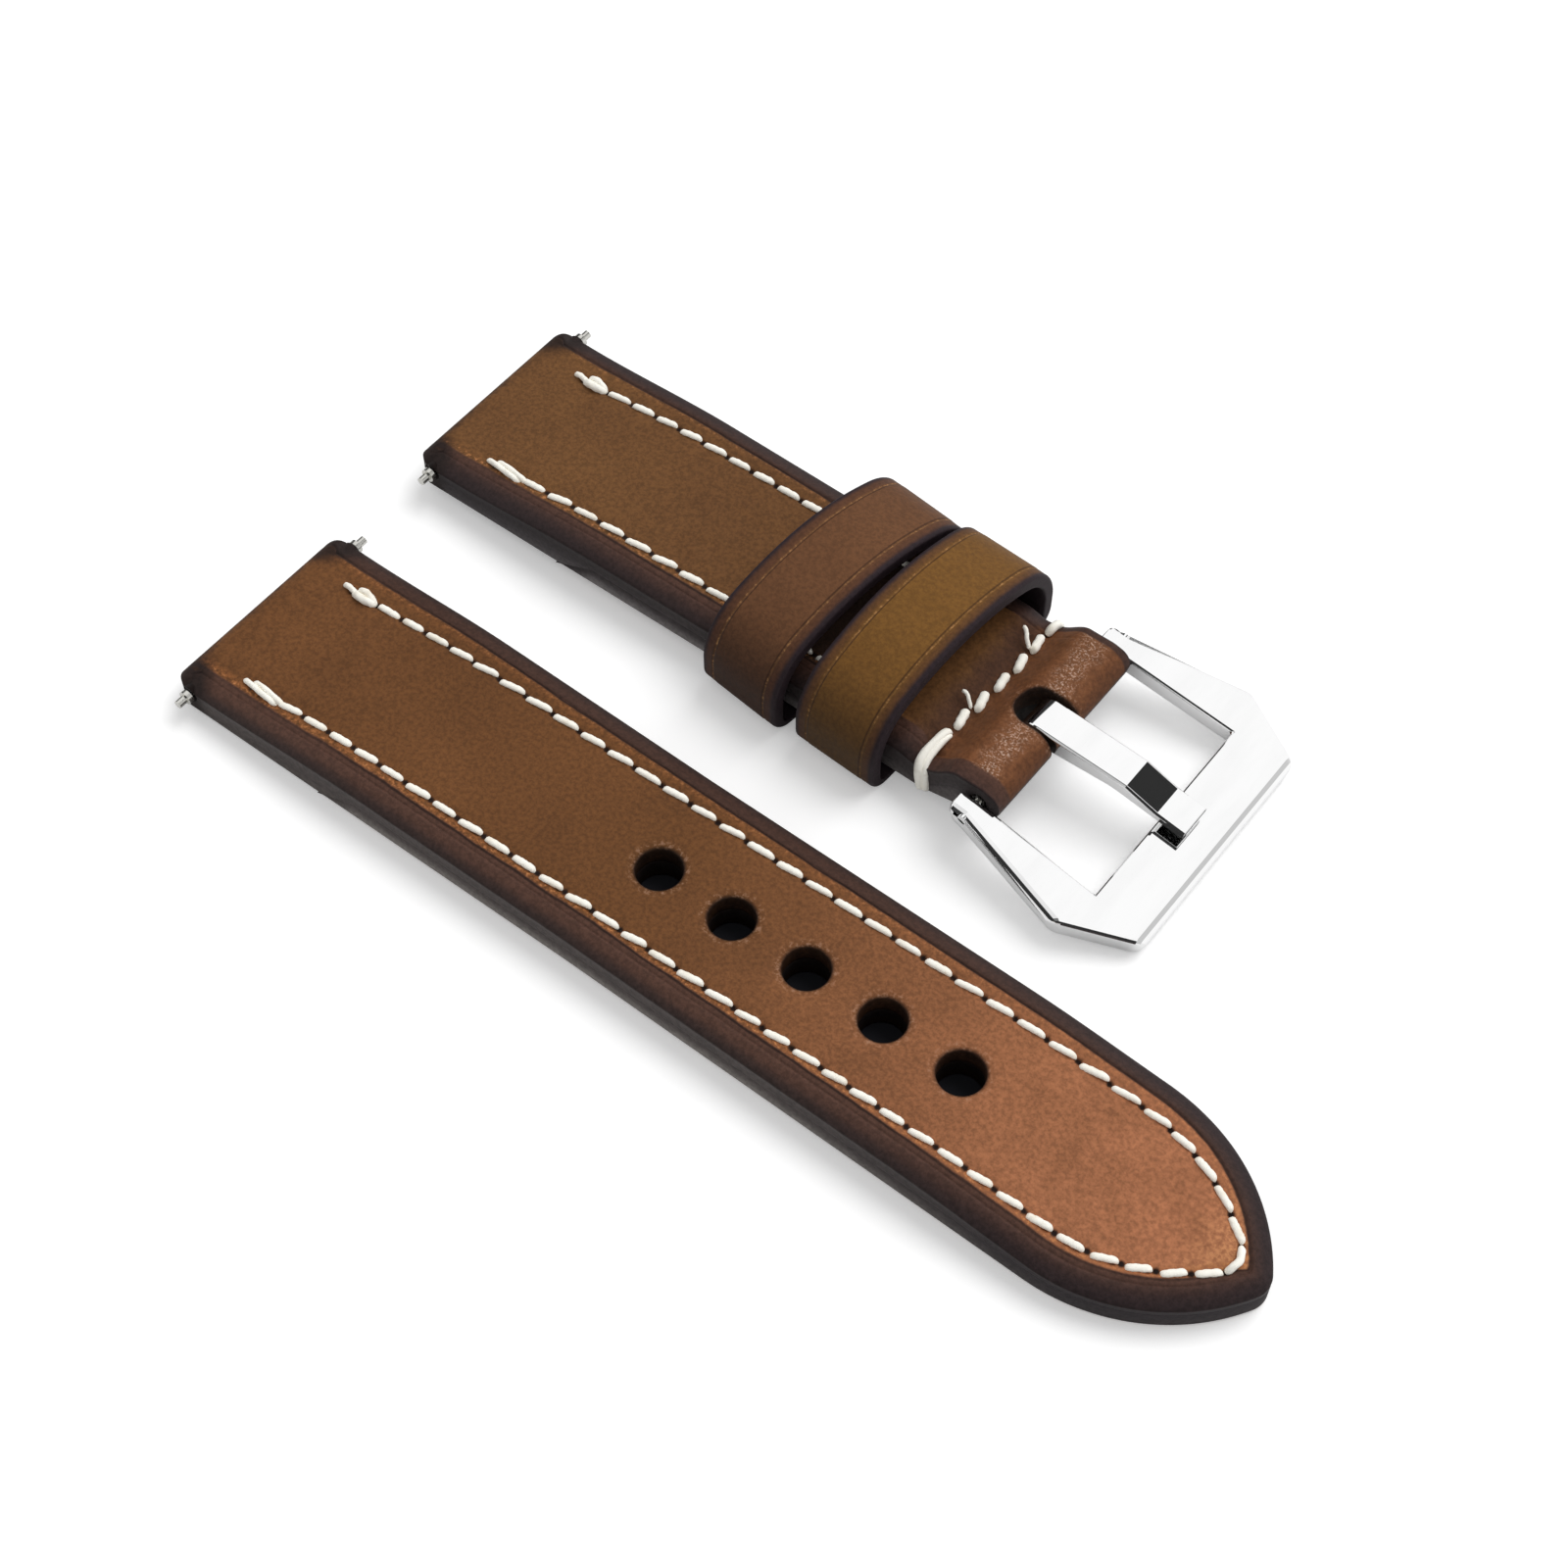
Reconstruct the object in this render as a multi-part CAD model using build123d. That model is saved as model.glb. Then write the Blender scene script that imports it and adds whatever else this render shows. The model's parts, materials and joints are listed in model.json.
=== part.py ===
"""Leather watch strap in two pieces, lying side by side, with its steel buckle.

Millimetres, +Z up.  X runs along the strap from the lug ends to the tip and the buckle,
Y from the hole half to the buckle half.  The row's origin is the middle of its underside.
Each half is first drawn with its lug end at x = 0, its centre line at y = 0 and the table
at z = 0, and is then moved to its place.
"""
import os
from math import asin, atan2, cos, degrees, pi, sin, sqrt

from build123d import *

os.makedirs("parts", exist_ok=True)

# Leather of both halves
lug_width = 23.4              # between the lugs of the watch
body_width = 22.2             # the strap further on
taper_length = 50.0           # over which the lug width runs into the body width
layer = 2.4                   # one layer of leather; the strap is two of them
lug_corner_radius = 2.3
edge_bevel_across = 1.9       # the bevelled, burnished margin, across and down
edge_bevel_down = 0.7
under_bevel = 0.35
turned_length = 24.0          # how far the turned end runs back under the strap
scarf_length = 5.0            # where its end is pared away over the lining

# Hole half
hole_half_length = 120.0
tip_side_radius = 20.0
tip_nose_radius = 2.5
hole_count = 5
first_hole_x = 52.8
hole_pitch = 8.7
hole_radius = 2.3
hole_rim_bevel = 0.3

# Buckle half
keeper_strap_gap = 0.2        # under the strap, over the bottom of the sliding keeper
bar_to_lug_end = 71.9
buckle_bar_height = 4.9       # the frame lifts the folded end a little off the table
fold_radius = 2.35            # outside of the leather where it goes round the buckle bar
fold_return_length = 21.0
waist_start_x = 62.6          # the fold is drawn in by the cross stitching
waist_x = 65.4
waist_depth = 0.75
fold_crest_x = 69.4
slot_width = 4.7
slot_start_x = 68.5
halves_spacing = 35.5         # centre line to centre line, as they lie

# Keepers
keeper_length = 9.8
keeper_leather = 1.5
keeper_bottom = 0.8           # pared thin where it runs under the strap
keeper_half_width = 14.4
keeper_aside = 0.3            # both loops are pulled a little to the far side
keeper_crown_height = 12.4
keeper_shoulder_height = 4.1
keeper_shoulder_radius = 7.0
keeper_corner_radius = 2.5
keeper_edge_bevel = 0.25
fixed_keeper_skew = 2.5       # degrees: both loops sit a little askew
sliding_keeper_skew = 5.7
fixed_keeper_x = 57.4
sliding_keeper_x = 46.4

# Stitching
stitch_pitch = 3.38
stitch_share = 0.74           # of the pitch that shows as thread
thread_width = 0.8
thread_height = 0.35
first_stitch_x = 8.4
stitch_row_half = 7.4
stitch_turn_x = 102.0
stitch_nose_radius = 1.5
buckle_half_stitch_count = 16
cross_stitch_pitch = 2.9
cross_stitch_count = 7

# Spring bars
bar_radius = 0.9
bar_bore_radius = 0.68
bar_tunnel_radius = 0.95
crimp_length = 0.3
crimp_bore_radius = 0.5
plunger_head_radius = 0.62
plunger_head_length = 1.2
plunger_radius = 0.44
flange_radius = 0.75
flange_length = 0.5
lug_tip_length = 1.0
bar_slack = 0.02              # between the plunger's head and the crimp
lug_plunger_travel = 1.1
lug_flange_start = 11.85      # from the centre line to the inner face of the flange
buckle_plunger_travel = 1.5
buckle_flange_start = 10.87
buckle_flange_length = 0.4
buckle_tip_length = 1.5
spring_radius = 0.5
spring_wire = 0.16
spring_turn_count = 8
spring_side_count = 8         # the thin wire's helix is drawn with straight sides

# Buckle, drawn in its own plane: u from the bar to the front, v up
frame_window_length = 14.2    # bar axis to the inside of the front bar
frame_shoulder_u = 12.8       # widest point
frame_length = 20.8           # bar axis to the front edge
frame_arm_half_inner = 11.4
frame_window_half = 11.8
frame_arm_half_outer = 13.8
frame_shoulder_half = 17.0
frame_front_half = 13.1
frame_eye_radius = 1.8
frame_front_half_height = 1.5
frame_bevel = 0.9
bevel_angle = 45             # degrees
frame_pivot_radius = 0.5
tongue_width = 4.0
tongue_eye_radius = 2.0
tongue_thickness = 1.6
tongue_bend_u = 10.1
tongue_bend_height = 3.0
tongue_step_u = 13.9
tongue_tip_u = 17.2
tongue_tip_thickness = 0.8
tongue_rest_gap = 0.02
tongue_edge_bevel = 0.2

# Worked out from the sizes above
thickness = 2 * layer
round_end = layer
body_half = body_width / 2
lug_half = lug_width / 2
strap_lift = keeper_bottom + keeper_strap_gap
strap_top = strap_lift + thickness
lug_bar_height = strap_lift + round_end
fold_end_x = bar_to_lug_end + fold_radius
keeper_inner_half = keeper_half_width - keeper_leather
frame_slope = degrees(asin((buckle_bar_height - frame_front_half_height) / frame_length))
overrun = thickness
stitch_length = stitch_pitch * stitch_share
middle_x = hole_half_length / 2
low_y = -(lug_flange_start + flange_length + lug_tip_length)
high_y = halves_spacing + frame_shoulder_half
middle_y = (low_y + high_y) / 2
hole_half_place = Pos(-middle_x, -middle_y, 0)
buckle_half_place = Pos(-middle_x, halves_spacing - middle_y, 0)


def save(name, solid, place):
    """Write one piece, moved to its place, to its own file."""
    export_step(place * solid, f"parts/{name}.step")


def save_stitches(name, stitches, place):
    """Write a piece that is many separate stitches, each moved to its place."""
    save(name, Compound(children=[place * stitch for stitch in stitches]), Pos(0, 0, 0))


def upright(face, half):
    """Extrude a face drawn as (x, z) equally to both sides of the centre line."""
    standing = Plane.XZ * face
    return extrude(standing, amount=half, both=True)


def closed(*edges):
    """The face inside a loop of edges."""
    return make_face(Wire(list(edges)))


def bevelled_block(plan, low, height):
    """A plan extruded upwards, with the strap's bevelled top edge and eased lower edge."""
    block = Pos(0, 0, low) * extrude(plan, amount=height)
    top = block.faces().sort_by(Axis.Z)[-1]
    block = chamfer(top.edges(), edge_bevel_down, edge_bevel_across, reference=top)
    bottom = block.faces().sort_by(Axis.Z)[0]
    return chamfer(bottom.edges(), under_bevel)


def tapered_side(end_x):
    """Points of the strap's long side from the far end back to the lug end, for y above 0."""
    return [(end_x, body_half), (taper_length, body_half), (0, lug_half)]


def rounded_at_lug(plan):
    """Round the two lug corners of a plan."""
    corners = plan.vertices().filter_by(lambda v: abs(v.X) < lug_corner_radius)
    return fillet(corners, lug_corner_radius)


def ogive(half, side_radius, nose_radius, turn_x):
    """Where two equal side arcs, tangent to straight sides, run into a small round nose."""
    centre_y = half - side_radius
    reach = side_radius - nose_radius
    run = sqrt(reach ** 2 - centre_y ** 2)
    angle = asin(run / reach)
    return {"centre": (turn_x, centre_y), "angle": angle, "nose_x": turn_x + run}


def hole_half_plan():
    """Outline of the hole half, with its pointed tip."""
    reach = tip_side_radius - tip_nose_radius
    run = sqrt(reach ** 2 - (tip_side_radius - body_half) ** 2)
    turn_x = hole_half_length - tip_nose_radius - run
    tip = ogive(body_half, tip_side_radius, tip_nose_radius, turn_x)

    def on_side(angle):
        return (turn_x + tip_side_radius * sin(angle),
                tip["centre"][1] + tip_side_radius * cos(angle))

    joint = on_side(tip["angle"])
    middle = on_side(tip["angle"] / 2)
    turn, taper, lug = tapered_side(turn_x)
    low = [(x, -y) for x, y in (lug, taper, turn, middle, joint)]
    plan = closed(
        Line(low[0], low[1]),
        Line(low[1], low[2]),
        ThreePointArc(low[2], low[3], low[4]),
        ThreePointArc(low[4], (hole_half_length, 0), joint),
        ThreePointArc(joint, middle, turn),
        Line(turn, taper),
        Line(taper, lug),
        Line(lug, low[0]),
    )
    return rounded_at_lug(plan)


def buckle_half_plan():
    """Outline of the buckle half, square at the buckle."""
    turn, taper, lug = tapered_side(fold_end_x)
    points = [lug, taper, turn] + [(x, -y) for x, y in (turn, taper, lug)]
    return rounded_at_lug(make_face(Polyline(*points, close=True)))


def tunnel(x, height):
    """The round hole that a spring bar lies in."""
    return upright(Pos(x, height) * Circle(bar_tunnel_radius), lug_width)


# Hole half
leather = bevelled_block(hole_half_plan(), 0, thickness)
far_x = hole_half_length + overrun
upper_side = closed(
    Line((round_end, thickness), (far_x, thickness)),
    Line((far_x, thickness), (far_x, layer)),
    Line((far_x, layer), (turned_length, layer)),
    Line((turned_length, layer), (turned_length - scarf_length, 0)),
    Line((turned_length - scarf_length, 0), (round_end, 0)),
    ThreePointArc((round_end, 0), (0, round_end), (round_end, thickness)),
)
lining_side = make_face(Polyline(
    (turned_length, layer), (far_x, layer), (far_x, 0), (turned_length - scarf_length, 0),
    close=True))
hole_half_upper = leather & upright(upper_side, lug_width)
hole_half_upper -= tunnel(round_end, round_end)
hole_half_lining = leather & upright(lining_side, lug_width)
hole_places = [Pos(first_hole_x + i * hole_pitch, 0, 0) for i in range(hole_count)]
for place in hole_places:
    punch = place * extrude(Circle(hole_radius), amount=thickness)
    hole_half_upper -= punch
    hole_half_lining -= punch
rims = hole_half_upper.edges().filter_by(GeomType.CIRCLE).filter_by(
    lambda e: abs(e.radius - hole_radius) < hole_rim_bevel and e.center().Z > layer + hole_rim_bevel)
hole_half_upper = chamfer(rims, hole_rim_bevel)
save("hole_half_upper", hole_half_upper, hole_half_place)
save("hole_half_lining", hole_half_lining, hole_half_place)

# Buckle half
bar_x = bar_to_lug_end
fold_top = buckle_bar_height + fold_radius
fold_low = buckle_bar_height - fold_radius
waist_height = strap_top - waist_depth
return_x = bar_x - fold_return_length
seam = strap_lift + layer
waist_near_x = waist_x - thread_width / 2
waist_far_x = waist_x + thread_width / 2
buckle_side = closed(
    Line((round_end, strap_top), (waist_start_x, strap_top)),
    Spline((waist_start_x, strap_top), (waist_near_x, waist_height), tangents=((1, 0), (1, 0))),
    Line((waist_near_x, waist_height), (waist_far_x, waist_height)),
    Spline((waist_far_x, waist_height), (fold_crest_x, fold_top), tangents=((1, 0), (1, 0))),
    Line((fold_crest_x, fold_top), (bar_x, fold_top)),
    ThreePointArc((bar_x, fold_top), (fold_end_x, buckle_bar_height), (bar_x, fold_low)),
    Line((bar_x, fold_low), (waist_x, strap_lift)),
    Line((waist_x, strap_lift), (return_x + scarf_length, strap_lift)),
    Line((return_x + scarf_length, strap_lift), (return_x, seam)),
    Line((return_x, seam), (turned_length, seam)),
    Line((turned_length, seam), (turned_length - scarf_length, strap_lift)),
    Line((turned_length - scarf_length, strap_lift), (round_end, strap_lift)),
    ThreePointArc((round_end, strap_lift), (0, lug_bar_height), (round_end, strap_top)),
)
buckle_lining_side = make_face(Polyline(
    (turned_length, seam), (return_x, seam), (return_x + scarf_length, strap_lift),
    (turned_length - scarf_length, strap_lift), close=True))
past_waist = Pos(waist_x, 0, 0) * Box(
    bar_to_lug_end, 2 * lug_width, 2 * fold_top, align=(Align.MIN, Align.CENTER, Align.CENTER))
leather = bevelled_block(buckle_half_plan(), 0, strap_top) - past_waist
leather += bevelled_block(buckle_half_plan(), 0, fold_top) & past_waist
buckle_half_upper = leather & upright(buckle_side, lug_width)
buckle_half_upper -= tunnel(round_end, lug_bar_height)
buckle_half_upper -= tunnel(bar_x, buckle_bar_height)
slot_round = slot_width / 2
slot_run = fold_end_x + overrun - slot_start_x - slot_round
slot = Pos(slot_start_x + slot_round, 0, 0) * extrude(
    Circle(slot_round) + Pos(slot_run / 2, 0) * Rectangle(slot_run, slot_width), amount=fold_top)
buckle_half_upper -= slot
buckle_half_lining = leather & upright(buckle_lining_side, lug_width)
save("buckle_half_upper", buckle_half_upper, buckle_half_place)
save("buckle_half_lining", buckle_half_lining, buckle_half_place)


def arch(half, crown, shoulder_radius, low, corner):
    """Section of a keeper as (y, z): flat bottom, straight sides and a three-centred top."""
    offset = half - shoulder_radius
    rise = crown - shoulder_radius
    drop = (offset ** 2 + keeper_shoulder_height ** 2 - rise ** 2) / (2 * (keeper_shoulder_height - rise))
    crown_radius = crown - drop
    tilt = atan2(offset, keeper_shoulder_height - drop)
    meet = (crown_radius * sin(tilt), drop + crown_radius * cos(tilt))
    lean = (pi / 2 - tilt) / 2
    shoulder = (offset + shoulder_radius * cos(lean), keeper_shoulder_height + shoulder_radius * sin(lean))
    side = (half, keeper_shoulder_height)
    foot = (half, low + corner)
    turn = (half - corner * (1 - cos(pi / 4)), low + corner * (1 - sin(pi / 4)))
    toe = (half - corner, low)

    def left(point):
        return (-point[0], point[1])

    return closed(
        Line(left(toe), toe),
        ThreePointArc(toe, turn, foot),
        Line(foot, side),
        ThreePointArc(side, shoulder, meet),
        ThreePointArc(meet, (0, crown), left(meet)),
        ThreePointArc(left(meet), left(shoulder), left(side)),
        Line(left(side), left(foot)),
        ThreePointArc(left(foot), left(turn), left(toe)),
    )


def keeper(x, skew):
    """A leather loop round the strap, open above it for the tip to pass through."""
    outside = arch(keeper_half_width, keeper_crown_height, keeper_shoulder_radius, 0,
                   keeper_corner_radius)
    inside = arch(keeper_inner_half, keeper_crown_height - keeper_leather,
                  keeper_shoulder_radius - keeper_leather, keeper_bottom,
                  keeper_corner_radius - keeper_leather)
    outer = extrude(Plane.YZ * outside, amount=keeper_length / 2, both=True)
    rims = outer.edges().filter_by(lambda e: abs(abs(e.center().X) - keeper_length / 2) < keeper_edge_bevel)
    loop = chamfer(rims, keeper_edge_bevel) - extrude(Plane.YZ * inside, amount=keeper_length, both=True)
    return Pos(x, keeper_aside, 0) * Rot(0, 0, -skew) * loop


save("fixed_keeper", keeper(fixed_keeper_x, fixed_keeper_skew), buckle_half_place)
save("sliding_keeper", keeper(sliding_keeper_x, sliding_keeper_skew), buckle_half_place)


def dash(x, y, z, angle, length=stitch_length):
    """One stitch lying on the leather."""
    return Pos(x, y, z) * Rot(0, 0, angle) * Box(
        length, thread_width, thread_height, align=(Align.CENTER, Align.CENTER, Align.MIN))


def straight_row(count, side, z):
    """Stitches along one long side."""
    return [dash(first_stitch_x + i * stitch_pitch, side * stitch_row_half, z, 0) for i in range(count)]


def tip_row(side, z):
    """Stitches along one long side and round to the point of the tip."""
    curve = ogive(stitch_row_half, tip_side_radius, stitch_nose_radius, stitch_turn_x)
    straight = stitch_turn_x - first_stitch_x
    bend = tip_side_radius * curve["angle"]
    nose_turn = pi / 2 - curve["angle"]
    whole = straight + bend + stitch_nose_radius * nose_turn
    count = round(whole / stitch_pitch - 1 / 2)
    pitch = whole / (count + 1 / 2)
    row = []
    for i in range(count + 1):
        s = i * pitch
        angle = min(max(s - straight, 0) / tip_side_radius, curve["angle"])
        past = max(s - straight - bend, 0) / stitch_nose_radius
        x = min(first_stitch_x + s, stitch_turn_x) + tip_side_radius * sin(angle)
        y = curve["centre"][1] + tip_side_radius * cos(angle)
        x += stitch_nose_radius * (sin(angle + past) - sin(angle))
        y += stitch_nose_radius * (cos(angle + past) - cos(angle))
        row.append(dash(x, side * y, z, -side * degrees(angle + past)))
    return row


hole_half_stitches = tip_row(1, thickness) + tip_row(-1, thickness)
save_stitches("hole_half_stitching", hole_half_stitches, hole_half_place)
buckle_rows = [straight_row(buckle_half_stitch_count, side, strap_top) for side in (1, -1)]
save_stitches("buckle_half_stitching", sum(buckle_rows, []), buckle_half_place)

# The thread across the fold also goes round both edges of the strap
cross_span = (cross_stitch_count - 1) / 2
cross_stitch_length = cross_stitch_pitch * stitch_share
cross = [
    dash(waist_x, (i - cross_span) * cross_stitch_pitch, waist_height, 90, cross_stitch_length)
    for i in range(cross_stitch_count)]
wrap_height = waist_height - strap_lift
for side in (-1, 1):
    over = Box(thread_width, thread_height, wrap_height, align=(Align.CENTER, Align.CENTER, Align.MIN))
    cross.append(Pos(waist_x, side * (body_half + thread_height / 2), strap_lift) * over)
save_stitches("cross_stitching", cross, buckle_half_place)


def bar_sizes(flange_start, flange, tip, travel):
    """Distances from the bar's middle to the end of its tube and the stages of its plunger."""
    tube_half = flange_start - travel - crimp_length / 2
    head_out = tube_half - crimp_length - bar_slack
    return {
        "tube": tube_half,
        "head": (head_out - plunger_head_length, head_out),
        "flange": (flange_start, flange_start + flange),
        "tip": flange_start + flange + tip,
    }


def rod(radius, start, end):
    """A round rod along Y from start to end."""
    return extrude(Plane.XZ.offset(-start) * Circle(radius), amount=-(end - start))


def bar_tube(sizes):
    """The tube of a spring bar, with both ends crimped in over the plungers."""
    half = sizes["tube"]
    tube = rod(bar_radius, -half, half) - rod(crimp_bore_radius, -half, half)
    return tube - rod(bar_bore_radius, crimp_length - half, half - crimp_length)


def plunger(sizes):
    """Head inside the tube, neck, flange and the tip that goes into the lug or the frame."""
    start, end = sizes["head"]
    flange_start, flange_end = sizes["flange"]
    return (rod(plunger_head_radius, start, end) + rod(plunger_radius, end, flange_start)
            + rod(flange_radius, flange_start, flange_end) + rod(plunger_radius, flange_end, sizes["tip"]))


def coil(sizes):
    """The spring between the two plunger heads."""
    half = sizes["head"][0] - spring_wire
    side_count = spring_turn_count * spring_side_count
    turns = [2 * pi * i / spring_side_count for i in range(side_count + 1)]
    step = 2 * half / side_count
    corners = [
        (spring_radius * cos(turn), i * step - half, spring_radius * sin(turn))
        for i, turn in enumerate(turns)]
    path = Polyline(*corners)
    wire = Plane(origin=path @ 0, z_dir=path % 0) * Rectangle(spring_wire, spring_wire)
    return sweep(wire, path=path, transition=Transition.RIGHT)


def save_bar(name, sizes, x, height, place):
    """Write the four pieces of one spring bar."""
    at = place * Pos(x, 0, height)
    save(f"{name}_tube", bar_tube(sizes), at)
    save(f"{name}_tip_far", plunger(sizes), at)
    save(f"{name}_tip_near", plunger(sizes), at * Rot(0, 0, 180))
    save(f"{name}_spring", coil(sizes), at)


lug_bar = bar_sizes(lug_flange_start, flange_length, lug_tip_length, lug_plunger_travel)
buckle_bar = bar_sizes(buckle_flange_start, buckle_flange_length, buckle_tip_length, buckle_plunger_travel)
save_bar("hole_bar", lug_bar, round_end, round_end, hole_half_place)
save_bar("lug_bar", lug_bar, round_end, lug_bar_height, buckle_half_place)
save_bar("buckle_bar", buckle_bar, bar_x, buckle_bar_height, buckle_half_place)

# Buckle
in_buckle_plane = buckle_half_place * Pos(bar_x, 0, buckle_bar_height) * Rot(0, frame_slope, 0)


def mirrored(points):
    """A closed outline from the points of its half above the centre line."""
    return make_face(Polyline(*points, *[(x, -y) for x, y in reversed(points)], close=True))


frame_outline = mirrored([
    (-frame_eye_radius, frame_arm_half_outer), (0, frame_arm_half_outer),
    (frame_shoulder_u, frame_shoulder_half), (frame_length, frame_front_half)])
window_outline = mirrored([
    (-frame_length, frame_arm_half_inner), (0, frame_arm_half_inner),
    (frame_window_length, frame_window_half)])
frame_side = closed(
    Line((0, frame_eye_radius), (frame_length, frame_front_half_height)),
    Line((frame_length, frame_front_half_height), (frame_length, -frame_front_half_height)),
    Line((frame_length, -frame_front_half_height), (0, -frame_eye_radius)),
    ThreePointArc((0, -frame_eye_radius), (-frame_eye_radius, 0), (0, frame_eye_radius)),
)
bevel_low = frame_front_half_height - frame_bevel
bevel_rise = frame_eye_radius - bevel_low
rimmed = Pos(0, 0, bevel_low) * extrude(frame_outline, amount=-frame_length)
rimmed += Pos(0, 0, bevel_low) * extrude(frame_outline, amount=bevel_rise, taper=bevel_angle)
frame = upright(frame_side, frame_shoulder_half) & rimmed
frame -= extrude(window_outline, amount=frame_length, both=True)
frame -= rod(frame_pivot_radius, -frame_length, frame_length)
save("buckle_frame", frame, in_buckle_plane)

eye_diagonal = tongue_eye_radius * cos(pi / 4)
tip_low = frame_front_half_height + tongue_rest_gap
tip_high = tip_low + tongue_tip_thickness
bend_low = tongue_bend_height - tongue_thickness
tongue_side = closed(
    Line((0, tongue_eye_radius), (tongue_bend_u, tongue_bend_height)),
    Line((tongue_bend_u, tongue_bend_height), (tongue_step_u, tip_high)),
    Line((tongue_step_u, tip_high), (tongue_tip_u, tip_high)),
    Line((tongue_tip_u, tip_high), (tongue_tip_u, tip_low)),
    Line((tongue_tip_u, tip_low), (tongue_bend_u, tip_low)),
    Line((tongue_bend_u, tip_low), (tongue_bend_u - tongue_thickness, bend_low)),
    Line((tongue_bend_u - tongue_thickness, bend_low), (tongue_eye_radius, 0)),
    ThreePointArc((tongue_eye_radius, 0), (-eye_diagonal, -eye_diagonal), (0, tongue_eye_radius)),
)
tongue = upright(tongue_side, tongue_width / 2)
upper_edges = tongue.edges().filter_by(lambda e: e.center().Z > tongue_eye_radius)
side_edges = upper_edges.filter_by(lambda e: abs(abs(e.center().Y) - tongue_width / 2) < tongue_edge_bevel)
tongue = chamfer(side_edges, tongue_edge_bevel)
tongue -= rod(bar_tunnel_radius, -tongue_width, tongue_width)
save("buckle_tongue", tongue, in_buckle_plane)
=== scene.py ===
# %% [markdown]
# # A stitched leather watch strap
# The strap lies open in two halves.  Its steel pieces come from the CAD model as they are.
# Leather and thread are soft, so they are made here as surfaces worked out with numpy,
# in the same place and size as their plain CAD solids.  Lengths are in millimetres, as a
# strap maker counts them, until a mesh is written in metres.

import json
from math import asin, cos, pi, radians, sin, sqrt

import bmesh
import bpy
import numpy as np
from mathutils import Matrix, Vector

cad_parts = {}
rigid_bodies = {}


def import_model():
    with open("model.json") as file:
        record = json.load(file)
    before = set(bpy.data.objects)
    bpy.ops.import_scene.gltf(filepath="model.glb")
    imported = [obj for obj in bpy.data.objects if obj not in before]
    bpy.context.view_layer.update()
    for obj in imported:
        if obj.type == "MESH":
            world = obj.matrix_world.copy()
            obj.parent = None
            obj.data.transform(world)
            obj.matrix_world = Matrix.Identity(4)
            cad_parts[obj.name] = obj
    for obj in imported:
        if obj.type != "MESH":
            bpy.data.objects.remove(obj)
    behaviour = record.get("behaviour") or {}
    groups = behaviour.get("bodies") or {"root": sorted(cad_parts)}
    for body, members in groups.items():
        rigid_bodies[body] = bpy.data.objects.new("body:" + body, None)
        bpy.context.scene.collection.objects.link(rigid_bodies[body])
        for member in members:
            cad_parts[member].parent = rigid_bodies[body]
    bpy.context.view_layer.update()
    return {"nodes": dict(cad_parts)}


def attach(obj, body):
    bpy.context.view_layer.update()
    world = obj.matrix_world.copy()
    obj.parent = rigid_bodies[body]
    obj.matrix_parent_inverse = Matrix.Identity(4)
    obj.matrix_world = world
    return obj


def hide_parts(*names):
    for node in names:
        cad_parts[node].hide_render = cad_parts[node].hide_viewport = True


for leftover in list(bpy.data.objects):
    bpy.data.objects.remove(leftover)
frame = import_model()

# %% [markdown]
# ## The plan of a half
# Both halves have a rounded lug end at x = 0, a slight taper, and long straight sides.
# The hole half ends in a pointed arch with a small round nose; the buckle half is cut
# square and folded round the bar.  Leather edges are worked parallel to the outline, so
# the grid's rings run parallel to it too: then a bevel or a crease is one ring, never a
# jagged line across faces.
#
# The leather is two layers of 2.4 mm.  It thins out towards the lug end and the tip
# (END_THIN, TIP_THIN).  A turned end reaches back to TURNED_END and is pared over its
# last SCARF millimetres.

# %% Sizes of the leather
MM = 0.001
LUG_HALF, BODY_HALF, TAPER = 11.7, 11.1, 50.0
CORNER, CORNER_BLEND = 2.3, 8.0
LAYER, END_DROP, TIP_DROP = 2.4, 1.05, 1.0
END_THIN, TIP_THIN = (4.0, 24.0), (88.0, 108.0)
TURNED_END, SCARF = 24.0, 5.0
SCARF_X = TURNED_END - SCARF
SIDE_ARC, NOSE = 20.0, 2.5
HOLE_END = 120.0
ARC_DROP = SIDE_ARC - BODY_HALF
TURN_X = HOLE_END - NOSE - sqrt((SIDE_ARC - NOSE) ** 2 - ARC_DROP ** 2)
BAR_X, BAR_Z, FOLD_R = 71.9, 4.9, 2.35
FOLD_END = BAR_X + FOLD_R
TUNNEL = 0.95
SLOT_HALF, SLOT_X = 2.35, 68.5
HOLES = 52.8 + 8.7 * np.arange(5)
HOLE_R = 2.3
BEVEL_ACROSS, BEVEL_DOWN, UNDER_BEVEL = 1.9, 0.7, 0.35
STRIP_INSET = 6.3
HOLE_PLACE = np.array([-60.0, -19.575, 0.0])
BUCKLE_PLACE = np.array([-60.0, 15.925, 0.0])
print("tongue holes at", HOLES, "mm; the arch of the tip starts at", round(TURN_X, 2), "mm")


def ease(low, high, x):
    """0 below low, 1 above high, and 3t^2 - 2t^3 between them."""
    t = np.clip((np.asarray(x, float) - low) / (high - low), 0, 1)
    return t * t * (3 - 2 * t)


def half_width(x):
    """Half the strap's width: a straight taper from the lugs to the body."""
    return np.interp(x, [0, TAPER], [LUG_HALF, BODY_HALF])


def cosine_steps(low, high, count):
    """Stations that crowd together at both ends, as the cosine of equal angles."""
    return (low + high) / 2 - (high - low) / 2 * np.cos(np.linspace(0, pi, count))


def stations(knots, step):
    """Even stations between each two knots, about a step apart."""
    runs = [np.linspace(a, b, max(2, int(round((b - a) / step)) + 1))[:-1]
            for a, b in zip(knots[:-1], knots[1:])]
    return np.concatenate(runs + [[knots[-1]]])


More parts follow.
